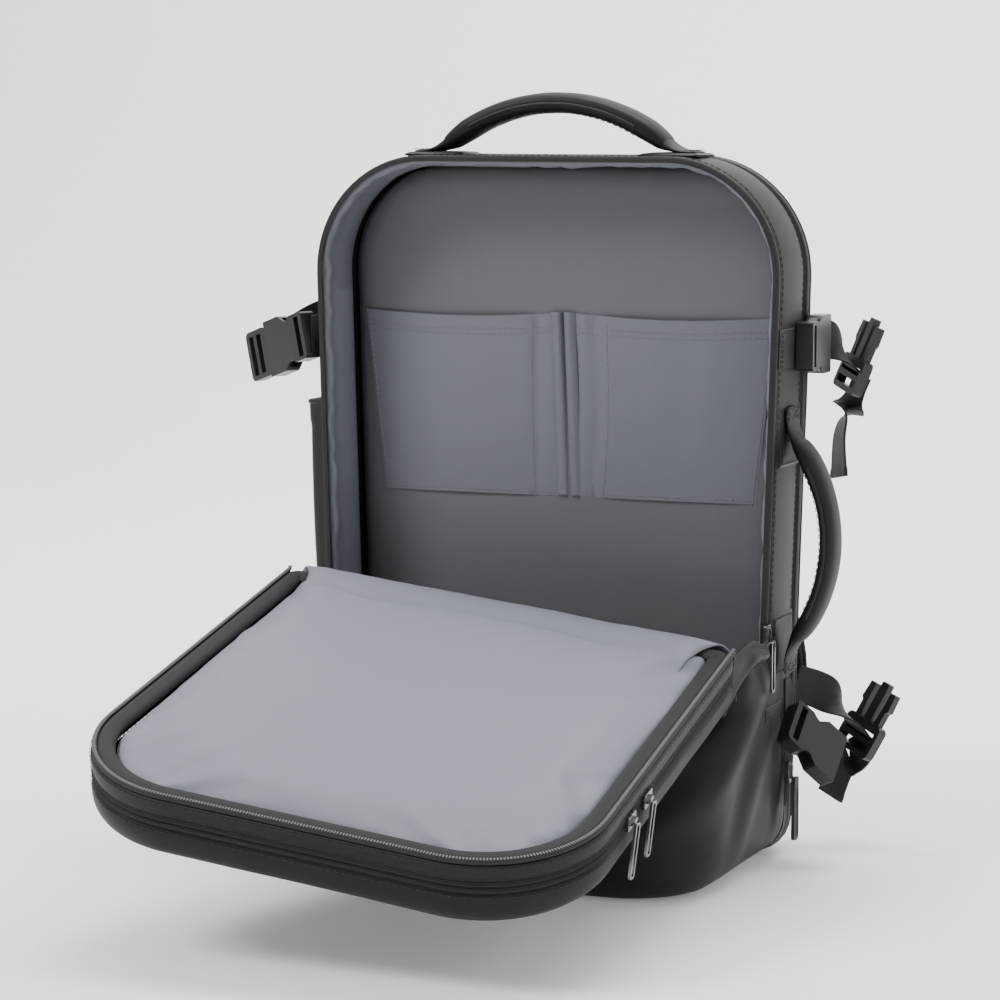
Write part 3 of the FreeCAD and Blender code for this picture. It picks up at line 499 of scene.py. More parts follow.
def tube(name, points, radius, sides=8, closed=False):
    """A round cord of stitching, piping or wire through points."""
    points = [Vector(p) for p in points]
    count = len(points)
    rows = []
    side = None
    for i, p in enumerate(points):
        a = points[i - 1] if (i or closed) else p
        b = points[(i + 1) % count] if (i < count - 1 or closed) else p
        along = (b - a).normalized()
        if side is None:
            side = along.orthogonal().normalized()
        side = (side - along * side.dot(along)).normalized()
        other = along.cross(side)
        rows.append([p + (side * math.cos(t) + other * math.sin(t)) * radius
                     for t in (2 * math.pi * k / sides for k in range(sides))])
    obj = lay(name, rows, ring=True, loop=closed)
    if not closed:
        tidy_mesh(close_ends(obj))
    return smooth(obj, 60)


def copies(name, seed, placings):
    """Copies one small mesh to many places as a single piece, in one mesh."""
    source = seed.data
    count = len(source.vertices)
    spots = [v.co.copy() for v in source.vertices]
    faces = [tuple(p.vertices) for p in source.polygons]
    points, polygons = [], []
    for n, place in enumerate(placings):
        points += [place @ p for p in spots]
        polygons += [tuple(i + n * count for i in face) for face in faces]
    mesh = bpy.data.meshes.new(name)
    mesh.from_pydata(points, [], polygons)
    obj = bpy.data.objects.new(name, mesh)
    bpy.context.scene.collection.objects.link(obj)
    bpy.data.objects.remove(seed)
    return obj


def walk(points, pitch, start=0.0):
    """Evenly spaced (place, direction) pairs along a line of points."""
    spots, travelled, due = [], 0.0, start
    for a, b in zip(points, points[1:]):
        a, b = Vector(a), Vector(b)
        length = (b - a).length
        while length > 1e-9 and due <= travelled + length:
            spots.append((a.lerp(b, (due - travelled) / length), (b - a).normalized()))
            due += pitch
        travelled += length
    return spots


def frame_at(place, along, up):
    """Matrix whose X runs along and Z nearly up."""
    along = Vector(along).normalized()
    side = Vector(up).cross(along).normalized()
    top = along.cross(side)
    return Matrix.Translation(place) @ Matrix((along, side, top)).transposed().to_4x4()


def bead(size, rounding=0.35):
    """A small rounded block about the origin."""
    bpy.ops.object.select_all(action="DESELECT")
    bpy.ops.mesh.primitive_cube_add(size=1)
    obj = bpy.context.object
    obj.scale = size
    settle(obj)
    return apply(obj, "BEVEL", width=min(size) * rounding, segments=1, limit_method="NONE")


def stitches(name, lines, up, length=0.0026, pitch=0.0042, width=0.0006):
    """Runs of thread lying on a surface; up gives the surface's outward direction."""
    placings = []
    for line in lines:
        for place, along in walk(line, pitch):
            lift = up(place) if callable(up) else Vector(up)
            placings.append(frame_at(place, along, lift))
    obj = copies(name, bead((length, width, width * 0.8)), placings)
    return smooth(obj, 60)


# ---- inside the main compartment -----------------------------------------------------------------

FACE = MAIN_DEPTH - 7 * MM
POCKET_LOW, POCKET_TOP = (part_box("slip_pocket_right")[k].z for k in (0, 1))
POCKET_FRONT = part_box("slip_pocket_right")[0].y


def swell(obj, pressure=4.0, cap=0.008, voxel=0.005, frames=20, hold=None):
    """Blows up a closed pad as cloth, keeps the change below a cap and applies it."""
    apply(obj, "REMESH", mode="VOXEL", voxel_size=voxel)
    before = [v.co.copy() for v in obj.data.vertices]
    scene = bpy.context.scene
    cloth = obj.modifiers.new("cloth", "CLOTH")
    cloth.settings.use_pressure = True
    cloth.settings.uniform_pressure_force = pressure
    cloth.settings.effector_weights.gravity = 0
    cloth.settings.quality = 5
    cloth.settings.mass = 0.3
    cloth.settings.tension_stiffness = cloth.settings.compression_stiffness = 18
    cloth.settings.bending_stiffness = 0.4
    cloth.point_cache.frame_start, cloth.point_cache.frame_end = 1, frames
    if hold:
        group = obj.vertex_groups.new(name="held")
        for v in obj.data.vertices:
            weight = hold(v.co)
            if weight > 0:
                group.add([v.index], weight, "REPLACE")
        cloth.settings.vertex_group_mass = "held"
    for number in range(1, frames + 1):
        scene.frame_set(number)
    bpy.ops.object.modifier_apply(modifier="cloth")
    for v, old in zip(obj.data.vertices, before):
        moved = v.co - old
        if moved.length > cap:
            v.co = old + moved.normalized() * cap
    scene.frame_set(1)
    return obj


def gathered(run, point):
    """Side lining in section: a puckered roll beside the zip, then loose cloth back to the wall."""
    pucker = 1.9 * wave(run * 80, 0.3, point.y * 20) + 1.1 * wave(run * 190, 1.7, 0)
    slack = 2.2 + 1.5 * wave(run * 9, 5.0, 0) + 0.5 * wave(run * 40, 2.0, 0)
    side = 1.0 if abs(point.x) > 0.12 and point.y < 0.37 else 0.35
    rows = [(3.9, -0.3), (3.4, -1.6), (2.8 + 0.5 * pucker, -3.2 - 0.4 * pucker),
            (3.4 + 0.5 * pucker, -5.2 - 0.8 * pucker), (5.6, -6.4 - pucker),
            (8.5, -6.0 - 0.9 * pucker), (12, -4.6 - slack * 0.5 - 0.5 * pucker),
            (17, -4.6 - slack * 1.2 * side - 0.3 * pucker), (23, -4.8 - slack * 1.9 * side),
            (30, -5.0 - slack * 2.1 * side), (37, -4.6 - slack * 1.8 * side),
            (43, -4.0 - slack * 0.8 * side), (47, -3.6), (48.4, -3.4)]
    return [(y * MM, out * MM) for y, out in rows]


def build_lining():
    loop = open_loop(RIM + 1 * MM, 0.0, 0.003)
    obj = around("side_lining", loop, gathered)
    subdivide(obj)
    thicken(obj, 0.0008, 1, 180)
    finish(obj, SHADED_LINING, "pack", "lining", "main_lining")


def divider_point(u, w):
    """A place on the divider's padded face; u across from -1 to 1, w up from 0 to 1."""
    low, high = 8 * MM, HEIGHT - 6 * MM
    z = low + w * (high - low)
    half = half_width(z) - 6.5 * MM
    radius = 70 * MM
    if z > high - radius:
        lift = z - (high - radius)
        half -= radius - math.sqrt(max(radius ** 2 - lift ** 2, 0))
    edge = min(1.0, (1 - abs(u)) * half / (16 * MM))
    edge *= min(1.0, (1 - w) * (high - low) / (14 * MM))
    puff = math.sin(edge * math.pi / 2) ** 0.8
    drape = 0.8 * wave(u * 2.2, w * 3.0, 0.4) + 0.25 * wave(u * 9, w * 5, 3.0)
    y = FACE + 5.4 * MM - (5.6 + drape) * MM * puff
    return (u * half, y, z)


def build_divider():
    rows = [[divider_point(-1 + 2 * i / 60, k / 80) for i in range(61)] for k in range(81)]
    obj = lay("divider_panel_cover", [row[::-1] for row in rows])
    thicken(obj, 0.0012, -1, 180)
    finish(obj, LINING_BACK_SHADED, "pack", "lining", "divider_panel")


def pocket_point(side, u, w):
    """A place on a slip pocket's face; u from the middle pleat outwards, w up."""
    inner, outer = 6 * MM, (146 - 14 * (1 - w)) * MM
    inner += 3 * MM * math.sin(w * math.pi) * (1 if side > 0 else 0.4)
    x = inner + u * (outer - inner)
    z = POCKET_LOW + w * (POCKET_TOP - POCKET_LOW) - 3 * MM * math.sin(u * math.pi) * w
    slack = math.sin(u * math.pi) ** 0.6 * (0.35 + 0.65 * w)
    folds = 1.3 * wave(side * 3 + u * 3.5, w * 1.6, 7.0) + 0.6 * wave(u * 8 + side, w * 2.5, 2.0)
    pleat = 2.6 * math.exp(-((u - 0.10) / 0.035) ** 2) * (0.4 + 0.6 * w)
    y = FACE - (1.4 + (4.2 + folds) * slack - pleat * 0.7 + 0.8 * w) * MM
    return (side * x, max(y, POCKET_FRONT - 0.5 * MM), z)


def build_pockets():
    lines = []
    for side, word in ((1, "right"), (-1, "left")):
        count, high = 70, 50
        rows = [[pocket_point(side, i / count, k / high) for i in range(count + 1)]
                for k in range(high + 1)]
        top = rows[-1]
        hem = [[(x, y + 1.2 * MM, z + 0.2 * MM) for x, y, z in top],
               [(x, y + 1.6 * MM, z - 10 * MM) for x, y, z in top]]
        rows = rows + hem
        if side > 0:
            rows = [row[::-1] for row in rows]
        obj = lay("slip_pocket_cloth_" + word, [row[::-1] for row in rows])
        thicken(obj, 0.0007, 0, 60)
        finish(obj, SHADED_LINING, "pack", "lining", f"slip_pocket_{word}")
        off = lambda p, out=0.55: (p[0], p[1] - out * MM, p[2])
        for w in (0.93, 0.90):
            lines.append([off(pocket_point(side, i / 60, w)) for i in range(61)])
        lines.append([off(pocket_point(side, i / 60, 0.02)) for i in range(61)])
        for u in (0.16, 0.985) if side > 0 else (0.13, 0.985):
            lines.append([off(pocket_point(side, u, k / 50)) for k in range(50)])
    obj = stitches("pocket_stitching", lines, (0, -1, 0), 0.0024, 0.0038, 0.0005)
    finish(obj, THREAD, "pack", "lining")


def build_pleat():
    """The folded cloth between the two slip pockets."""
    rows = []
    for k in range(41):
        w = k / 40
        z = POCKET_LOW + w * (POCKET_TOP + 1 * MM - POCKET_LOW)
        lean = (2 - 5 * w) * MM
        open_up = 0.5 + 0.5 * w
        rows.append([(x * MM + lean, FACE - y * MM * open_up, z) for x, y in (
            (-9, 1.2), (-6.5, 4.4), (-4.0, 5.6), (-1.6, 5.0), (-0.6, 1.5), (0.2, 0.8), (1.0, 1.6),
            (2.2, 5.4), (4.6, 6.2), (7.2, 4.8), (9.5, 1.2))])
    obj = lay("pocket_pleat", rows)
    subdivide(obj)
    thicken(obj, 0.0007, 0, 180)
    finish(obj, SHADED_LINING, "pack", "lining")


build_lining()
build_divider()
build_pockets()
build_pleat()


# ---- the open cover, modelled closed and then laid open ------------------------------------------

COIL_PITCH = 1.9 * MM
TEETH_IN = 1.4


def coil(name, path, out, body, size=(0.0012, 0.0024, 0.0011)):
    """A row of zip teeth along a line; out gives the direction the teeth stand in."""
    placings = [frame_at(place, along, out) for place, along in walk(path, COIL_PITCH)]
    obj = copies(name, bead(size, 0.4), placings)
    smooth(obj, 80)
    return finish(obj, TEETH, body, "zip_tape")


def build_cover_pad():
    """The padded satin lining, blown up as cloth, with puckers where it is sewn in."""
    loop = bag_loop(COVER_LOW - 5 * MM, 20 * MM, 12.5 * MM, 0.01)
    rows = [offset(loop, -shrink, y * MM) for y, shrink in (
        (-15, 1.0), (-12, 0.2), (-8, 0.0), (-4, 0.4), (-1.5, 3.0), (-0.3, 9.0))]
    pad = close_ends(lay("cover_pad_cloth", rows, ring=True))
    swell(pad, 3.5, 0.007, 0.0045, 20, lambda co: 1.0 if co.y < -9 * MM else 0.0)
    line = [(p.x, p.y) for p, _ in loop]
    for v in pad.data.vertices:
        near, total, spot = 1e9, 0.0, 0.0
        for (ax, az), (bx, bz) in zip(line, line[1:] + line[:1]):
            gap = math.hypot(v.co.x - ax, v.co.z - az)
            if gap < near:
                near, spot = gap, total
            total += math.hypot(bx - ax, bz - az)
        if v.co.y > -12 * MM:
            edge = math.exp(-(near / (9 * MM)) ** 2)
            tuck = 1.3 * wave(spot * 75, near * 30, 2.0) + 0.9 * wave(spot * 170, 4.0, near * 60)
            side = math.exp(-(near / (34 * MM)) ** 2) if v.co.x > 0.1 else 0.0
            pull = 1.3 * wave(v.co.z * 42 + v.co.x * 60, 8.0, v.co.x * 6) * side
            broad = (1.6 * wave(v.co.x * 7, v.co.z * 6, 1.0)
                     + 0.8 * wave(v.co.x * 16, v.co.z * 13, 5.0))
            rise = 2.6 * min(near / (70 * MM), 1.0)
            v.co.y += (tuck * edge + pull + broad * (1 - edge) + rise) * MM
            v.co.y = min(v.co.y, 5.5 * MM)
    apply(pad, "SMOOTH", factor=0.5, iterations=2)
    subdivide(pad)
    smooth(pad, 180)
    opened(pad)
    finish(pad, COVER_LINING_LIT, "cover", "lining", "cover_pad", "cover_board")


def build_cover_bands():
    """Knit binding, the two zips and the plain band between them."""
    loop = bag_loop(COVER_LOW, 10 * MM, 0.0, 0.004)

    def binding(run, point):
        wob = 0.25 * wave(run * 60, 1.0, 0)
        return [(y * MM, out * MM) for y, out in (
            (-5.8, -2.6), (-3.0, -2.6), (-1.6, -3.2), (-0.9 + wob, -5.0), (-0.9 + wob, -8.0),
            (-1.4, -11.0), (-2.6, -13.4), (-5.8, -14.0))]
    knit = around("cover_knit_binding", loop, binding, closed=True)
    apply(knit, "SOLIDIFY", thickness=0.0008, offset=-1)
    smooth(opened(knit), 180)
    finish(knit, KNIT, "cover", "knit_binding", "cover_binding")

    feet_loop = open_loop(COVER_LOW, 0.0, 0.004)
    tape = around("cover_main_tape", feet_loop, [(y * MM, out * MM) for y, out in (
        (-4.1, -1.2), (-3.4, 0.1), (-1.2, 0.15), (-0.35, -0.3), (-0.3, -1.6), (-0.5, -3.0))])
    apply(tape, "SOLIDIFY", thickness=0.0007, offset=-1)
    smooth(opened(tape), 60)
    finish(tape, TAPE, "cover", "zip_tape", "cover_zip_tape")
    line = [OPENING @ Vector(spot) for spot in offset(feet_loop, -TEETH_IN, -0.5 * MM)]
    coil("cover_main_teeth", line, OPENING.to_3x3() @ Vector((0, 1, 0)), "cover")

    def plain(run, point):
        soft = 0.3 * wave(run * 14, 3.0, 0)
        return [(y * MM, (out + soft) * MM) for y, out in (
            (-4.0, -0.8), (-4.6, 0.5), (-6.5, 0.9), (-9.5, 1.0), (-12.0, 0.8), (-13.6, 0.4),
            (-14.0, -0.8))]
    band = around("cover_side_band", loop, plain, closed=True)
    apply(band, "SOLIDIFY", thickness=0.0016, offset=-1)
    smooth(opened(band), 180)
    finish(band, SHELL, "cover", "shell", "cover_gusset")

    def ribbed(run, point):
        rows = []
        for k in range(17):
            y = -14.2 - 8.0 * k / 16
            rows.append((y * MM, (0.35 * math.cos(k * math.pi / 2) + 0.5
                                  - 1.1 * (k in (0, 8, 16))) * MM))
        return rows
    zipband = around("cover_pocket_zip", loop, ribbed, closed=True)
    apply(zipband, "SOLIDIFY", thickness=0.0012, offset=-1)
    smooth(opened(zipband), 60)
    finish(zipband, TAPE, "cover", "zip_tape", "pocket_zip_tape")

    def front(run, point):
        """The outer face's rim; its long low sides bulge, and the base of the zip puckers."""
        soft = 0.9 * wave(run * 8, 7.0, 0) + 0.4 * wave(run * 26, 2.0, 0)
        return [(y * MM, (out + soft * k) * MM) for y, out, k in (
            (-22.4, -1.2, 0), (-22.9, 0.3, 0.2), (-25.0, 0.9, 0.5), (-28.5, 1.1, 1.0),
            (-32.5, 0.8, 1.0), (-36.5, -0.5, 0.9), (-39.8, -2.9, 0.7), (-42.2, -6.6, 0.5),
            (-43.4, -9.2, 0.3))]
    shell = around("cover_front", loop, front, closed=True)
    draw_in(shell, lambda co: co.y < -30 * MM, bpy.ops.mesh.edge_collapse, (0, 0, COVER_MIDDLE),
            [((shrink, 1, shrink), forwards) for shrink, forwards in (
                (0.965, 0.9), (0.955, 0.3), (0.8, 0), (0.72, 0), (0.7, 0), (0.6, 0), (0.4, 0))])
    subdivide(shell)
    for v in shell.data.vertices:
        if v.co.y < -42 * MM:
            v.co.y += 1.4 * MM * wave(v.co.x * 9, v.co.z * 8, 2.0)
    apply(shell, "SOLIDIFY", thickness=0.002, offset=-1)
    smooth(opened(shell), 180)
    finish(shell, SHELL, "cover", "shell", "pocket_panel")

    rim = [[OPENING @ Vector(spot) for spot in offset(loop, 1.35, y * MM)]
           for y in (-5.6, -12.9, -24.2)]
    middle = OPENING @ Vector((0, -10 * MM, COVER_MIDDLE))
    sewn = stitches("cover_stitching", rim, lambda place: place - middle, 0.003, 0.0046, 0.0005)
    finish(sewn, DARK_THREAD, "cover", "shell")


build_cover_pad()
build_cover_bands()


# ---- shell of the bag ----------------------------------------------------------------------------

def build_gusset():
    """Outer band over the top and sides, softly filled, between the main and rear zips."""
    loop = open_loop(RIM + 0.5 * MM, 0.0, 0.006)

    def band(run, point):
        soft = 0.9 * wave(run * 6, 2.0, 0) + 0.5 * wave(run * 17, 9.0, 0)
        dent = 0.5 * wave(run * 30, point.y * 4, 3.0)
        return [(y * MM, (out + soft * k + dent * k * 0.5) * MM) for y, out, k in (
            (3.9, -1.0, 0), (4.3, 0.2, 0), (6.5, 0.7, 0.1), (12, 1.2, 0.5), (22, 1.7, 1.0),
            (34, 1.8, 1.0), (45, 1.3, 0.6), (51, 0.8, 0.2), (54.5, 0.4, 0), (55.9, -1.0, 0))]
    obj = around("main_gusset_cloth", loop, band)
    subdivide(obj)
    thicken(obj, 0.0022, -1, 180)
    finish(obj, SHELL, "pack", "shell", "main_gusset")

    tape = around("main_zip_band", loop, [(y * MM, out * MM) for y, out in (
        (4.2, -1.2), (3.4, 0.1), (1.4, 0.15), (0.5, -0.3), (0.35, -1.6), (0.6, -3.0))])
    thicken(tape, 0.0007, -1, 60)
    finish(tape, TAPE, "pack", "zip_tape", "main_zip_tape")
    coil("main_zip_teeth", offset(loop, -TEETH_IN, 0.65 * MM), (0, -1, 0), "pack")
    sewn = [offset(loop, 1.15, 8.2 * MM), offset(loop, 1.0, 51.6 * MM)]
    thread = stitches("gusset_stitching", sewn,
                      lambda place: Vector((place.x, 0, place.z - 0.25)), 0.003, 0.0046, 0.0005)
    finish(thread, DARK_THREAD, "pack", "shell")


def build_rear_shell():
    loop = bag_loop(0.0, BASE_RADIUS, 0.0, 0.007)

    def section(run, point):
        soft = 0.8 * wave(run * 7, 4.0, 0) + 0.4 * wave(run * 21, 1.0, 0)
        soft *= 0.0 if point.y < 0.02 else 1.0
        high = 1.0 if point.y > 0.12 else 0.0
        return [(y * MM, (out + soft * k) * MM) for y, out, k in (
            (56.5, -2.0, 0), (56.6, -1.4 * high, 0), (59.4, -1.6 * high, 0),
            (62.4, -1.4 * high, 0), (62.7, 0.0, 0), (64, 0.5, 0.2), (67, 0.7, 0.4),
            (68.7, 0.2, 0.2), (69.1, -0.8, 0), (69.5, 0.1, 0.2), (73, 0.0, 0.8), (78, -1.8, 1.0),
            (83, -5.6, 1.0), (87, -11, 0.6), (89.3, -17.5, 0.3), (90.0, -24, 0), (90.0, -34, 0))]
    obj = around("rear_shell_cloth", loop, section, closed=True)
    draw_in(obj, lambda co: co.y > 80 * MM, bpy.ops.mesh.edge_collapse, (0, 0, HEIGHT / 2),
            [((shrink, 1, shrink), 0) for shrink in (0.8, 0.7, 0.6, 0.4)])
    thicken(obj, 0.0022, -1, 50)
    finish(obj, SHELL, "pack", "shell", "rear_gusset", "back_panel")

    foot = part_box("rear_zip_tape")[0].z
    run = [(p, out) for p, out in bag_loop(0.0, BASE_RADIUS, 0.0, 0.004) if p.y >= foot]
    start = next(i for i, (p, _) in enumerate(run) if p.x > 0)
    run = run[start:] + run[:start]
    rows = []
    for k in range(19):
        y = 56.8 + 5.7 * k / 18
        dip = -0.9 if k == 9 else 0.0
        rows.append((y * MM, (-0.5 + 0.28 * math.cos(k * math.pi / 1.5) + dip) * MM))
    zipband = around("rear_zip_band", run, rows)
    thicken(zipband, 0.001, -1, 60)
    finish(zipband, TAPE, "pack", "zip_tape", "rear_zip_tape")
    pipe = tube("rear_piping", offset(loop, -0.2, 69.1 * MM), 1.3 * MM, 8, closed=True)
    finish(pipe, SHELL, "pack", "shell")


def tub_section(z):
    """Half width, front and corner radius of the lower box at a height."""
    half = half_width(z)
    if z < BASE_RADIUS:
        half -= BASE_RADIUS - math.sqrt(max(BASE_RADIUS ** 2 - (BASE_RADIUS - z) ** 2, 0))
    stops = [(0, -101), (3, -106.5), (10, -113.5), (18, -117.2), (28, -118.4), (58, -118.2),
             (68, -115.5), (80, -108), (90, -98), (100, -76), (108, -56), (116, -47), (128, -40),
             (139, -35)]
    radii = [(0, 40), (28, 58), (80, 56), (92, 48), (104, 26), (116, 16), (139, 12)]

    def read(table):
        value = z / MM
        for (a, u), (b, v) in zip(table, table[1:]):
            if a <= value <= b:
                t = (value - a) / (b - a)
                return (u + (v - u) * t) * MM
        return table[-1][1] * MM
    return half, read(stops), read(radii)


TUB_BACK = 0.056
TUB_TOP = 139
FOLDS = [((0.050, 0.126), (0.200, 0.030), 0.013, 5.5), ((0.064, 0.136), (0.150, 0.104), 0.009, 3.6),
         ((0.032, 0.104), (0.112, 0.008), 0.012, 3.6), ((0.012, 0.122), (0.017, 0.020), 0.007, 2.4),
         ((0.165, 0.088), (0.275, 0.058), 0.013, 2.4)]


def fold_depth(run, z):
    """Outward push of the soft lower box's diagonal folds; run is from the rear edge."""
    push = 0.0
    for (r0, z0), (r1, z1), width, depth in FOLDS:
        dx, dz = r1 - r0, z1 - z0
        t = max(0.0, min(1.0, ((run - r0) * dx + (z - z0) * dz) / (dx * dx + dz * dz)))
        far = math.hypot(run - r0 - t * dx, z - z0 - t * dz)
        side = ((run - r0) * dz - (z - z0) * dx) / math.hypot(dx, dz)
        fade = math.sin(math.pi * min(1.0, t * 0.86 + 0.1)) ** 0.7
        push += depth * fade * (math.exp(-(far / width) ** 2)
                                - 0.8 * math.exp(-((side + width * 1.5) / width) ** 2) * fade)
    return push


def build_tub():
    levels = [0, 1.2, 3, 6, 10, 14, 19, 25] + [25 + 3.1 * k for k in range(1, 37)] + [TUB_TOP]
    count = 150
    rows = []
    for level in levels:
        z = level * MM
        half, front, radius = tub_section(z)
        ring = [p for p, _ in rounded_loop([(half, front, radius), (half, TUB_BACK, 0),
                                            (-half, TUB_BACK, 0), (-half, front, radius)], 0.006)]
        first, last = (next(i for i, p in enumerate(ring)
                            if (p - Vector((x, TUB_BACK))).length < 1e-6) for x in (-half, half))
        path = (ring[first:] + ring[:first])[:(last - first) % len(ring) + 1]
        lengths = [0.0]
        for a, b in zip(path, path[1:]):
            lengths.append(lengths[-1] + (b - a).length)
        row = []
        for k in range(count + 1):
            want = lengths[-1] * k / count
            i = max(j for j, v in enumerate(lengths) if v <= want + 1e-12)
            i = min(i, len(path) - 2)
            t = (want - lengths[i]) / (lengths[i + 1] - lengths[i])
            spot = path[i].lerp(path[i + 1], t)
            along = (path[i + 1] - path[i]).normalized()
            out = Vector((along.y, -along.x))
            side = lengths[-1] - want if spot.x > 0 else want
            amount = min(1.0, level / 16) * min(1.0, (TUB_TOP - level) / 8)
            ease = min(1.0, (TUB_BACK - spot.y) / 0.02)
            push = fold_depth(side, z) + 0.9 * wave(spot.x * 20, spot.y * 20, z * 26)
            push += 1.6 * math.exp(-((spot.y + 0.02) / 0.03) ** 2 - ((z - 0.105) / 0.025) ** 2)
            push = max(min(push, 6.5), -7.0) * amount * max(ease, 0.0)
            row.append((spot.x + out.x * push * MM, spot.y + out.y * push * MM, z))
        rows.append(row)
    obj = lay("lower_box_cloth", rows)
    apply(obj, "SMOOTH", factor=0.5, iterations=3)
    draw_in(obj, lambda co: co.z < 0.5 * MM, bpy.ops.mesh.edge_face_add, (0, -0.02, 0),
            [((shrink, shrink, 1), 0) for shrink in (0.86, 0.7, 0.5)])
    thicken(obj, 0.0024, -1, 180)
    finish(obj, SHELL, "pack", "shell", "base_tub")


build_gusset()
build_rear_shell()
build_tub()


# ---- webbing, handles and back -------------------------------------------------------------------

def curve_points(control, count):
    """Points along a smooth curve through control points (Catmull-Rom)."""
    pts = [Vector(p) for p in control]
    pts = [pts[0] * 2 - pts[1]] + pts + [pts[-1] * 2 - pts[-2]]
    made = []
    spans = len(pts) - 3
    for k in range(count + 1):
        t = spans * k / count
        i = min(int(t), spans - 1)
        t -= i
        a, b, c, d = pts[i:i + 4]
        made.append(0.5 * ((2 * b) + (c - a) * t + (2 * a - 5 * b + 4 * c - d) * t * t
                           + (3 * b - 3 * c + d - a) * t ** 3))
    return made


def strap(name, stations, width=0.025, thick=0.0016, count=44, body="pack", replaced=(), hem=True):
    """Woven webbing through (centre, across) stations in millimetres, with woven edges."""
    places = curve_points([Vector(c) * MM for c, a in stations], count)
    sides = curve_points([Vector(a).normalized() for c, a in stations], count)
    section = [(-0.5, 0.25), (-0.485, 0.5), (-0.44, 0.42), (-0.2, 0.5), (0, 0.47), (0.2, 0.5),
               (0.44, 0.42), (0.485, 0.5), (0.5, 0.25), (0.5, -0.25), (0.485, -0.5), (0.44, -0.42),
               (0.2, -0.5), (0, -0.47), (-0.2, -0.5), (-0.44, -0.42), (-0.485, -0.5), (-0.5, -0.25)]
    rows = []
    for i, (p, side) in enumerate(zip(places, sides)):
        along = (places[min(i + 1, count)] - places[max(i - 1, 0)]).normalized()
        side = (side - along * side.dot(along)).normalized()
        up = along.cross(side)
        swell_end = 1.6 if hem and i >= count - 2 else 1.0
        rows.append([p + side * (u * width) + up * (v * thick * swell_end) for u, v in section])
    obj = lay(name, rows, ring=True)
    close_ends(obj)
    smooth(obj, 50)
    return finish(obj, WEB, body, "webbing", *replaced)


def rear_seam(z):
    """Where webbing leaves the rear edge's rounding, in millimetres."""
    inwards = 20 * (1 - math.sqrt(0.5)) - 1.6
    return Vector((half_width(z * MM) / MM - inwards, REAR / MM - inwards, z))


def build_right_straps():
    for z, word, origin, along, across, tail in (
            (344, "upper", (171, 121, 304), (0.365, 0.09, 0.926), (0.62, -0.75, -0.17),
             [((168, 119, 278), (0.5, -0.8, 0.1)), ((169, 113, 247), (0.6, -0.7, 0.1))]),
            (111, "lower", (180, 114, 62), (0.435, 0.177, 0.88), (0.79, -0.545, -0.289),
             [((170, 127, 50), (0.8, -0.5, 0)), ((162, 125, 28), (0.8, -0.5, 0))])):
        along, across, origin = Vector(along).normalized(), Vector(across), Vector(origin)
        bar = origin + along * 11
        face = across.normalized().cross(along)
        face = face if face.y > 0 else -face
        near = bar + face * 5.1
        start = rear_seam(z)
        middle = (start + bar) * 0.5 + Vector((4, 6, 5))
        body = f"rear_strap_{word}_right"
        node = f"rear_webbing_{word}_right"
        strap(f"{node}_woven", [
              (start, (0, 0, 1)), (start.lerp(middle, 0.5) + Vector((1.5, 2.5, 1)), (0, 0, 1)),
              (middle, across * -0.4 + Vector((0, 0, 0.6))),
              (middle.lerp(near, 0.6) + face * 0.5, -across), (near, -across)],
              body=body, replaced=(node,))
        drop = near + face * 1.9 + along * 3
        strap(f"rear_tail_{word}_right", [(drop, -across), (drop - along * 12, -across)] + tail,
              body=body)
    for z, word in ((339, "upper"), (96, "lower")):
        x = half_width((z + 12.5) * MM) / MM + 1.1
        strap(f"front_webbing_{word}", [((x - 0.6, 4.2, z), (0.028, 0, 1)),
              ((x + 0.1, 18, z), (0.028, 0, 1)), ((x, 33.6, z), (0.028, 0, 1))], hem=False,
              replaced=("front_webbing_right",) if z > 200 else ())
        sewn = [[((x + 0.95) * MM, y * MM, (z - 11) * MM), ((x + 1.1) * MM, y * MM, (z + 11) * MM)]
                for y in (6.5, 9.0)]
        thread = stitches(f"front_webbing_{word}_seam", sewn, (1, 0, 0), 0.002, 0.0032, 0.0006)
        finish(thread, DARK_THREAD, "pack", "webbing")


def build_left_straps():
    for n, (origin, along, across, z) in enumerate((
            ((-168, 3.5, 341), (-0.82, 0.48, -0.28), (-0.24, 0.13, 0.96), 360),
            ((-163, 3.5, 100), (-0.84, 0.5, -0.16), (-0.14, 0.08, 0.98), 108))):
        origin, along, across = Vector(origin), Vector(along).normalized(), Vector(across)
        bar = origin + along * 72.5 - along * 11
        face = across.normalized().cross(along)
        face = face if face.y > 0 else -face
        near = bar + face * 5.1
        seam = rear_seam(z)
        start = Vector((-seam.x, seam.y, seam.z))
        bow = (start + near) * 0.5 + Vector((-9, 9, 3))
        strap(f"rear_webbing_left_{n}", [(start, (0, 0, 1)), (bow, across + Vector((0, 0, 1))),
              (near, across)], replaced=("rear_webbing_left",) if n == 0 else ())
        sewn = Vector((-half_width((origin.z + 12.5) * MM) / MM - 0.3, 8.7, origin.z))
        strap(f"front_webbing_left_{n}", [(sewn, (0, 0, 1)), (origin - along * 1.5, across)],
              hem=False, count=14, replaced=("front_webbing_left",) if n == 0 else ())


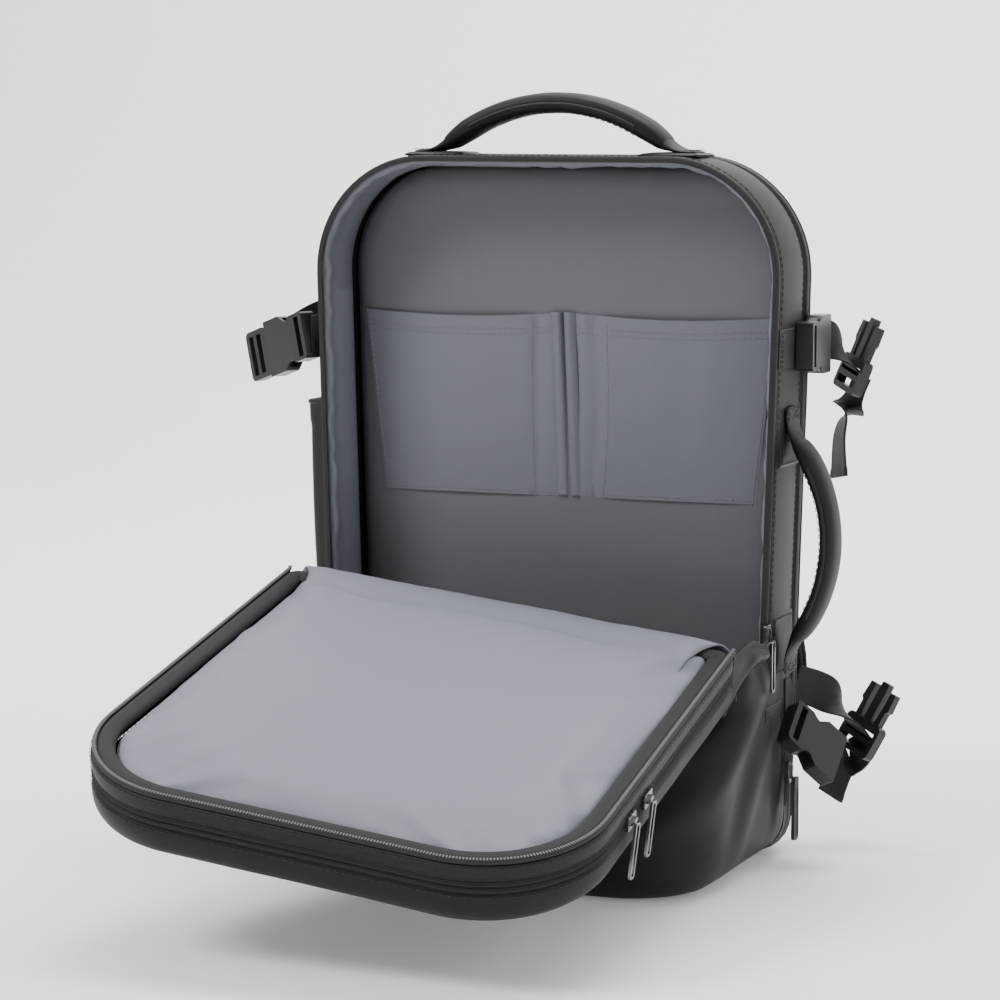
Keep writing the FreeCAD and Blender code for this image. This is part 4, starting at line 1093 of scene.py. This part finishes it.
def grip_piece(name, place, span, rise, width, thick, body, node):
    """A padded handle: a stuffed tube of cloth with a sewn seam along its inner face."""
    half = span / 2
    rows, seam, edge = [], [], []
    count = 72
    deep = rise + thick / 2
    radius = (half ** 2 + deep ** 2) / (2 * deep)
    line = [(-half - 24, -4.9, 0.94, 0.13), (-half - 16, -4.8, 0.97, 0.16),
            (-half - 9, -3.9, 0.95, 0.24), (-half - 4.5, -2.0, 0.90, 0.36)]
    for k in range(2, count - 1):
        u = -half * math.cos(math.pi * k / count)
        h = math.sqrt(max(radius ** 2 - u ** 2, 0)) - (radius - deep)
        ease = min(1.0, min(k - 1, count - 1 - k) / 13)
        line.append((u, h, 0.84 + 0.16 * ease, 0.5 + 0.5 * ease ** 0.6))
    line += [(-u, h, w, d) for u, h, w, d in line[3::-1]]
    for i, (u, h, w, d) in enumerate(line):
        before, after = line[max(i - 1, 0)], line[min(i + 1, len(line) - 1)]
        normal = Vector((before[1] - after[1], 0, after[0] - before[0])).normalized()
        w, d = w * width / 2, d * thick / 2
        soft = 0.5 * wave(u * 0.03, 2.0, span) + 0.35 * wave(u * 0.09, 5.0, span)
        section = []
        for q in range(20):
            a = 2 * math.pi * q / 20
            c, s = math.cos(a), math.sin(a)
            puff = 1.0 + 0.05 * soft
            v = w * (abs(c) ** 0.75) * (1 if c > 0 else -1) * puff
            n = d * (abs(s) ** 0.8) * (1 if s > 0 else -1) * puff
            section.append((Vector((u, v, h)) + normal * n))
        rows.append([place(p) for p in section])
        if 17 < i < len(line) - 18:
            seam.append(place(Vector((u, -w * 0.62, h)) - normal * (d * 0.92)))
            edge.append(place(Vector((u, -w * 1.0, h)) - normal * (d * 0.1)))
    obj = lay(name, rows, ring=True)
    close_ends(obj)
    subdivide(obj)
    smooth(obj, 180)
    finish(obj, SHELL, None, "shell", node)
    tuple(place(Vector((0, 0, -5.5))))
    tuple(place(Vector((0, 0, 5))))
    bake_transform(obj)
    for end in (-1, 1):
        a, b, c = end * (half + 7), end * (half + 21), width * 0.36
        def at(u, v):
            return place(Vector((u, v, -3.5)))
        runs = [[at(a, -c), at(b, -c), at(b, c), at(a, c), at(a, -c)], [at(a, -c), at(b, c)],
                [at(b, -c), at(a, c)]]
        sewn = stitches(f"{name}_cross_{'left' if end < 0 else 'right'}", runs,
                        place(Vector((0, 0, 1))) - place(Vector()), 0.0028, 0.0042, 0.0008)
        finish(sewn, THREAD_GREY, "pack", "shell")
    pipe = tube(name + "_seam", edge, 0.0011, 8)
    finish(pipe, SHELL, body, "shell")
    thread = stitches(name + "_stitching", [seam], place(Vector((0, 0, -1))) - place(Vector()),
                      0.003, 0.0044, 0.0006)
    finish(thread, DARK_THREAD, body, "shell")


def tab_piece(name, low, high, axis, body, node, deep=1.5):
    """A sewn end tab: folded cloth with a box of stitching, facing along an axis."""
    low, high = Vector(low), Vector(high)
    other = [i for i in range(3) if i != axis]
    face = high[axis]
    rows = []
    count = 16
    for j in range(count + 1):
        row = []
        for i in range(count + 1):
            p = Vector((0, 0, 0))
            u, v = i / count, j / count
            p[other[0]] = low[other[0]] + (high[other[0]] - low[other[0]]) * u
            p[other[1]] = low[other[1]] + (high[other[1]] - low[other[1]]) * v
            rim = min(u, 1 - u, v, 1 - v)
            bulge = min(rim / 0.10, 1.0) ** 0.5
            sink = 0.35 if 0.12 < rim < 0.18 else 0.0
            uneven = 0.25 * wave(u * 5, v * 5, face * 90)
            p[axis] = face + (-deep * (1 - bulge) - sink + uneven) * MM
            row.append(p)
        rows.append(row)
    obj = lay(name, rows)
    apply(obj, "SOLIDIFY", thickness=0.0014, offset=-1 if axis == 0 else 1)
    smooth(obj, 60)
    finish(obj, SHELL, body, "shell", *([node] if node else []))
    def at(u, v):
        p = Vector((0, 0, 0))
        p[other[0]] = low[other[0]] + (high[other[0]] - low[other[0]]) * u
        p[other[1]] = low[other[1]] + (high[other[1]] - low[other[1]]) * v
        p[axis] = face + 0.2 * MM
        return p
    rim = [at(0.06, 0.06), at(0.94, 0.06), at(0.94, 0.94), at(0.06, 0.94), at(0.06, 0.06)]
    up = Vector((0, 0, 0))
    up[axis] = 1
    thread = stitches(name + "_stitching", [rim], up, 0.0026, 0.0040, 0.0006)
    finish(thread, DARK_THREAD, body, "shell")


def build_handles():
    pivot = 468.1
    top = lambda p: Vector((p.x, 30 + p.y, pivot + p.z)) * MM
    grip_piece("top_handle_padded", top, 152, 20, 28, 14, "top_handle", "top_handle")
    side = lambda p: Vector((166.66 + p.z, 30 + p.y, 214 - p.x)) * MM
    grip_piece("side_handle_padded", side, 128, 16, 26, 12, "side_handle", "side_handle")
    low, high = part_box("top_handle_tabs")
    for word, x0, x1 in (("left", low.x, low.x + 0.040), ("right", high.x - 0.040, high.x)):
        tab_piece(f"top_tab_{word}", (x0, low.y, low.z), (x1, high.y, high.z), 2, "pack",
                  "top_handle_tabs" if word == "left" else None)
    low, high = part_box("side_handle_tabs")
    for word, z0, z1 in (("lower", low.z, low.z + 0.040), ("upper", high.z - 0.040, high.z)):
        face = half_width(z1) + 1.9 * MM
        tab_piece(f"side_tab_{word}", (face - 2 * MM, low.y, z0), (face, high.y, z1), 0, "pack",
                  "side_handle_tabs" if word == "lower" else None)


def pad_piece(name, node, loop, y0, y1, channels):
    """A flat padded piece in the XZ plane: crowned towards the wearer, quilted by channels."""
    line = [(p.x, p.y) for p, _ in loop]
    middle = sum((Vector(p) for p in line), Vector((0, 0))) / len(line)
    rings = 10
    deep = y1 - y0
    rows = [offset(loop, -shrink, y0 + deep * share) for share, shrink in (
        (0, 3.0), (0.15, 0.6), (0.4, 0.0), (0.62, 0.3), (0.8, 1.2), (0.9, 2.4), (0.96, 4.2))]
    last = [Vector(p) for p in rows[-1]]
    for k in range(1, rings):
        t = k / rings
        row = []
        for p in last:
            x, z = p.x + (middle.x - p.x) * t, p.z + (middle.y - p.z) * t
            groove = sum(math.exp(-((z - c) / (3.5 * MM)) ** 2) for c in channels)
            row.append((x, y0 + deep * (0.97 + 0.03 * min(t * 4, 1)) - groove * deep * 0.35, z))
        rows.append(row)
    obj = lay(name, rows, ring=True)
    close_ends(obj)
    smooth(obj, 180)
    finish(obj, SPACER, "pack", "mesh_padding", node)


def build_back():
    for side, word in ((1, "right"), (-1, "left")):
        low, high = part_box(f"back_pad_{word}")
        loop = rounded_loop([(high.x, low.z, 24 * MM), (high.x, high.z, 24 * MM),
                             (low.x, high.z, 24 * MM), (low.x, low.z, 24 * MM)], 0.006)
        pad_piece(f"back_pad_mesh_{word}", f"back_pad_{word}", loop, low.y, high.y,
                  [0.14, 0.30, 0.355])
        pipe = tube(f"back_pad_piping_{word}", offset(loop, -1.2, low.y + 1.2 * MM), 0.0014, 8,
                    closed=True)
        finish(pipe, SHELL, "pack", "mesh_padding")
        half = 31
        stations = [(416, 58, 0.72), (360, 62, 1.0), (315, 69, 1.0), (270, 78, 1.0),
                    (230, 88, 0.97), (190, 100, 0.9), (160, 112, 0.81), (142, 120, 0.74),
                    (126, 126.5, 0.62), (112, 132, 0.5)]
        rows = []
        for zrow, xrow, share in [(stations[0][0] + 4, 58, 0.64)] + stations + [(109, 133, 0.36)]:
            row = []
            for q in range(24):
                a = 2 * math.pi * q / 24
                c, s = math.cos(a), math.sin(a)
                w = half * share * (abs(c) ** 0.55) * (1 if c > 0 else -1)
                d = 5.7 * (abs(s) ** 0.5) * (1 if s > 0 else -1)
                row.append((side * (xrow + w) * MM, (114.2 + d) * MM, zrow * MM))
            rows.append(row if side > 0 else row[::-1])
        obj = lay(f"shoulder_strap_mesh_{word}", rows, ring=True)
        close_ends(obj)
        subdivide(obj, 2)
        smooth(obj, 180)
        finish(obj, SPACER, f"shoulder_strap_{word}", "mesh_padding", f"shoulder_strap_{word}")
        pipe = tube(f"shoulder_strap_piping_{word}",
                    [(side * (x + k * (half * s + 0.2)) * MM, 0.1142, z * MM)
                     for k, run in ((1, stations), (-1, stations[::-1])) for z, x, s in run],
                    0.0016, 8, closed=True)
        finish(pipe, SHELL, f"shoulder_strap_{word}", "mesh_padding")
        strap(f"shoulder_webbing_woven_{word}", [((side * 117, 114.2, 39), (side, 0, 0)),
              ((side * 124, 114.2, 62), (side, 0, 0)), ((side * 133, 114.2, 87), (side, 0, 0))],
              body=f"lower_strap_{word}", replaced=(f"shoulder_webbing_{word}",), hem=False)
    soft_block("strap_anchor_cloth", "shoulder_strap_anchors", 0.0357, 0.0803, 0.9)
    soft_block("corner_tab_cloth", "corner_tabs", 0.1045, 0.1295, 0.21)
    low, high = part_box("luggage_band")
    rows = []
    for k in range(61):
        x = low.x + (high.x - low.x) * k / 60
        rise = min(1.0, min(k, 60 - k) / 3) ** 0.5
        y = low.y + 0.6 * MM + (high.y - low.y - 1.6 * MM) * rise
        rows.append([(x, y, low.z + (high.z - low.z) * j / 24) for j in range(25)])
    obj = lay("luggage_band_cloth", rows)
    thicken(obj, 0.0014, 0, 50)
    finish(obj, WEB, "pack", "webbing", "luggage_band")


def soft_block(name, node, near, far, tip):
    """Folded cloth over a sewn block on each side; tip is the share of its height at the end."""
    low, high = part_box(node)
    for side, word in ((1, "right"), (-1, "left")):
        a, b = sorted((side * near, side * far))
        rows = []
        for k in range(13):
            x = a + (b - a) * k / 12
            shut = 0.94 if k in (0, 12) else 1.0
            mid = (low.z + high.z) / 2
            half = (high.z - low.z) / 2 * shut
            y1 = high.y - (0.3 * MM if k not in (0, 12) else 0.9 * MM)
            waist, between = tip + (1 - tip) * 0.55, low.y + (y1 - low.y) * 0.5
            rows.append([(x, low.y, mid - half), (x, between, mid - half * waist),
                         (x, y1 - 0.8 * MM, mid - half * tip), (x, y1, mid - half * tip * 0.5),
                         (x, y1, mid + half * tip * 0.5), (x, y1 - 0.8 * MM, mid + half * tip),
                         (x, between, mid + half * waist), (x, low.y, mid + half)])
        obj = lay(f"{name}_{word}", rows, ring=True)
        close_ends(obj)
        smooth(obj, 40)
        finish(obj, SHELL, "pack", "shell", *([node] if side > 0 else []))
        thread = stitches(f"{name}_stitching_{word}",
                          [[(a + 2.5 * MM, high.y - 0.2 * MM, (low.z + high.z) / 2 + dz),
                            (b - 2.5 * MM, high.y - 0.2 * MM, (low.z + high.z) / 2 + dz)]
                           for dz in (-0.001, 0.001)], (0, 1, 0), 0.0024, 0.0036, 0.0005)
        finish(thread, THREAD_GREY, "pack", "shell")


def build_side_pocket():
    """The open-topped pocket on the left: one bellows sheet with an elastic hem."""
    low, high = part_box("side_pocket")
    rows = []
    for k in range(41):
        z = low.z + (high.z - low.z) * k / 40
        base = half_width(z) + 0.4 * MM
        out = 13.2 * min(1.0, (k + 0.6) / 5) ** 0.5
        row = []
        for j in range(29):
            t = j / 28
            y = low.y + (high.y - low.y) * t
            edge = min(t, 1 - t)
            rise = min(1.0, edge / 0.09) ** 0.6
            slack = 1.0 * wave(y * 40, z * 20, 3.0) + (0.8 if k > 36 else 0)
            row.append((-(base + (out * rise + slack * rise - 0.3) * MM), y, z))
        rows.append(row)
    obj = lay("side_pocket_cloth", rows)
    thicken(obj, 0.0014, 0, 60)
    finish(obj, SHELL, "pack", "shell", "side_pocket")
    hem = tube("side_pocket_hem", [(p[0] - 0.2 * MM, p[1], p[2] - 1.2 * MM) for p in rows[-1]],
               0.0016, 8)
    finish(hem, SHELL, "pack", "shell")
    low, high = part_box("side_zip_tape")
    rows = []
    for j in range(11):
        y = low.y + (high.y - low.y) * j / 10
        ridge = 0.5 * math.cos((j - 5) / 5 * math.pi * 2) - (0.6 if j == 5 else 0)
        rows.append([(high.x + (ridge * 0.4 - 0.2) * MM, y, low.z + (high.z - low.z) * k / 40)
                     for k in range(41)])
    obj = lay("side_zip_cloth", rows)
    thicken(obj, 0.0008, 0, 60)
    finish(obj, TAPE, "pack", "zip_tape", "side_zip_tape")


build_right_straps()
build_left_straps()
build_handles()
build_back()
build_side_pocket()


# ---- where the cover meets the bag ---------------------------------------------------------------

def laid_open(x, y, z):
    """A place on the closed cover, in millimetres, carried to where the cover lies open."""
    return OPENING @ (Vector((x, y, z)) * MM)


def build_hinge():
    """Lining that rolls over the open cover's edge into the bag, and the coated cloth below it."""
    count = 70
    rows, outer = [], []
    for k in range(count + 1):
        u = -1 + 2 * k / count
        x = u * 150
        soft = 1.3 * wave(x * 0.02, 1.0, 0) + 0.7 * wave(x * 0.06, 4.0, 0)
        tight = 0.9 * wave(x * 0.13, 8.0, 0)
        edge = max(abs(u) - 0.93, 0) / 0.07
        crest = 4.2 * (1 - edge)
        section = [laid_open(x * 0.87, -4, 194), laid_open(x * 0.88, -0.5 * (1 - edge), 181),
                   laid_open(x * 0.89, 1.9 * (1 - edge) + soft * 0.3, 171),
                   laid_open(x * 0.905, 3.4 * (1 - edge) + soft * 0.6, 163),
                   laid_open(x * 0.93, crest * 0.7 + soft * 0.7, 155.5),
                   laid_open(x * 0.965, -1.0 + soft * 0.4, 149.5),
                   laid_open(x, -9 + tight * 0.5, 146.0), laid_open(x, -20 + tight, 146.0),
                   Vector((x, -42.5 + tight * 0.3, 145.5)) * MM, Vector((x, -37, 141)) * MM,
                   Vector((x * 0.985, -30, 136)) * MM, Vector((x * 0.97, -27, 124)) * MM]
        rows.append(curve_points(section, 33))
        under = [Vector((x, -43.5, 119)) * MM, Vector((x, -46.8 + tight * 0.4, 126)) * MM,
                 laid_open(x, -41.5 + tight * 0.3, 148.8), laid_open(x, -44.9, 153),
                 laid_open(x, -45.2, 158)]
        outer.append(curve_points(under, 14))
    obj = lay("hinge_lining", rows)
    thicken(obj, 0.0009, -1, 180)
    finish(obj, COVER_LINING_LIT, None, "lining")
    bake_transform(obj)
    obj = lay("hinge_cloth", outer)
    thicken(obj, 0.0016, 0, 180)
    finish(obj, SHELL, None, "shell")
    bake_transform(obj)


def web_point(side, u, v, lift=0.0):
    """A place on the folded cloth beside the open cover; u from the zip's end to the cover."""
    low = [Vector((153.6, 2, 138.0)), Vector((153.6, -18, 137.6)), Vector((151.5, -36, 136.4)),
           laid_open(side * 150.5, -43, 152) / MM]
    high = [Vector((154.8, 0.6, 156.0)), Vector((157.5, -16, 152.5)), Vector((158.5, -42, 158.0)),
            laid_open(side * 153.6, -4.5, 156) / MM]
    for line in (low, high):
        for p in line[:3]:
            p.x *= side
    a = curve_points(low, 24)[round(u * 24)]
    b = curve_points(high, 24)[round(u * 24)]
    belly = math.sin(math.pi * min(v * 1.15, 1.0)) * math.sin(math.pi * u) ** 0.7
    crease = 1.6 * wave(u * 5, v * 2.0, side) + 1.2 * math.cos(v * 9 + u * 5)
    out = (6.0 + crease) * belly + lift
    p = a.lerp(b, v)
    return (p + Vector((side * out, 0, 0))) * MM


def build_webs():
    for side, word in ((1, "right"), (-1, "left")):
        rows = [[web_point(side, u / 24, v / 16) for v in range(17)] for u in range(25)]
        obj = lay(f"side_fold_{word}", rows)
        subdivide(obj)
        thicken(obj, 0.0016, 0, 180)
        finish(obj, SHELL, None, "shell")
        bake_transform(obj)
        rows = [[web_point(side, u / 24, 0.80 + 0.22 * v / 6, 0.7 + 0.5 * math.sin(math.pi * v / 6))
                 for v in range(7)] for u in range(25)]
        tape = lay(f"side_fold_tape_{word}", rows)
        thicken(tape, 0.0008, 0, 60)
        finish(tape, TAPE, None, "zip_tape")
        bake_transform(tape)


build_hinge()
build_webs()


# ---- inside the rear compartment -----------------------------------------------------------------

def build_sleeve():
    """The padded laptop sleeve: a pocket with an open top."""
    low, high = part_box("laptop_sleeve")
    loop = rounded_loop([(high.x - 1 * MM, 0.0725, 3 * MM), (high.x - 1 * MM, 0.0860, 3 * MM),
                         (low.x + 1 * MM, 0.0860, 3 * MM), (low.x + 1 * MM, 0.0725, 3 * MM)], 0.008)
    rows = []
    for k in range(41):
        z = low.z + 1 * MM + (high.z - low.z - 2 * MM) * k / 40
        tuck = 1.0 * max(0.0, 1 - k / 2.0)
        rows.append([(p.x - out.x * (tuck + 0.4 * wave(p.x * 14, z * 14, 2.0)) * MM,
                      p.y - out.y * (tuck + 0.25 * wave(p.x * 14, z * 14, 6.0)) * MM, z)
                     for p, out in loop])
    obj = lay("laptop_sleeve_cloth", rows, ring=True)
    draw_in(obj, lambda co: co.z < low.z + 3 * MM, bpy.ops.mesh.edge_face_add)
    thicken(obj, 0.002, -1, 50)
    finish(obj, LINING_BACK_SHADED, "pack", "lining", "laptop_sleeve")


build_sleeve()


# ---- floor, light and camera ---------------------------------------------------------------------

def look_from(azimuth, elevation):
    """Unit vector from the object to the camera; azimuth 0 is straight in front."""
    a, e = math.radians(azimuth), math.radians(elevation)
    return Vector((math.sin(a) * math.cos(e), -math.cos(a) * math.cos(e), math.sin(e)))


def add_floor():
    """A pale floor that sweeps up behind the object."""
    profile = [(-5.0, 0.0), (1.6, 0.0)] + [
        (1.6 + 1.6 * math.sin(t), 1.6 - 1.6 * math.cos(t))
        for t in (math.pi / 2 * k / 16 for k in range(1, 17))] + [(3.2, 7.0)]
    floor = lay("floor", [[(x, y, z) for x in (7.0, -7.0)] for y, z in profile])
    smooth(floor, 60)
    f = Finish("pale_floor", Roughness=0.8, Specular_IOR_Level=0.1, Emission_Strength=0.15)
    f.surface.inputs["Emission Color"].default_value = rgb(1.0, 1.0, 1.0)
    tint = f.noise(f.coords(), 3.0)
    f.paint(Base_Color=f.mix(tint, rgb(0.92, 0.92, 0.92), rgb(0.94, 0.94, 0.94)))
    floor.data.materials.append(f.material)
    world = bpy.data.worlds.new("studio")
    bpy.context.scene.world = world
    world.use_nodes = True
    world.node_tree.nodes["Background"].inputs["Color"].default_value = rgb(1.0, 1.0, 1.0)
    world.node_tree.nodes["Background"].inputs["Strength"].default_value = 0.55


def add_light(name, place, target, size, power):
    lamp = bpy.data.lights.new(name, "AREA")
    lamp.shape = "RECTANGLE"
    lamp.size, lamp.size_y = size
    lamp.energy = power
    holder = bpy.data.objects.new(name, lamp)
    bpy.context.scene.collection.objects.link(holder)
    holder.location = place
    holder.rotation_euler = (Vector(target) - Vector(place)).to_track_quat("-Z", "Y").to_euler()


AZIMUTH, ELEVATION = 22.2, 6.65
CAMERA_REACH = 2.256
AIM_RIGHT, AIM_UP = -0.0268, 0.2348
SENSOR = 36
LENS = 3400 * SENSOR / 1000


def add_camera():
    away = look_from(AZIMUTH, ELEVATION)
    right = Vector((math.cos(math.radians(AZIMUTH)), math.sin(math.radians(AZIMUTH)), 0))
    up = away.cross(right)
    data = bpy.data.cameras.new("camera")
    data.lens = LENS
    data.sensor_width = SENSOR
    holder = bpy.data.objects.new("camera", data)
    bpy.context.scene.collection.objects.link(holder)
    holder.matrix_world = Matrix.Translation(
        away * CAMERA_REACH + right * AIM_RIGHT + up * AIM_UP) @ Matrix(
            (right, up, away)).transposed().to_4x4()
    bpy.context.scene.camera = holder


add_floor()
add_light("key", (-1.5, -1.5, 2.2), (0, 0, 0.2), (1.0, 1.0), 62)
add_light("fill", (2.4, -0.6, 1.2), (0, 0, 0.3), (0.8, 1.6), 16)
add_light("top", (0.1, 0.7, 2.6), (0, 0.1, 0.4), (1.2, 1.2), 40)
add_light("backdrop", (0, 0.9, 3.0), (0, 3.2, 0.9), (4.0, 1.0), 150)
add_camera()
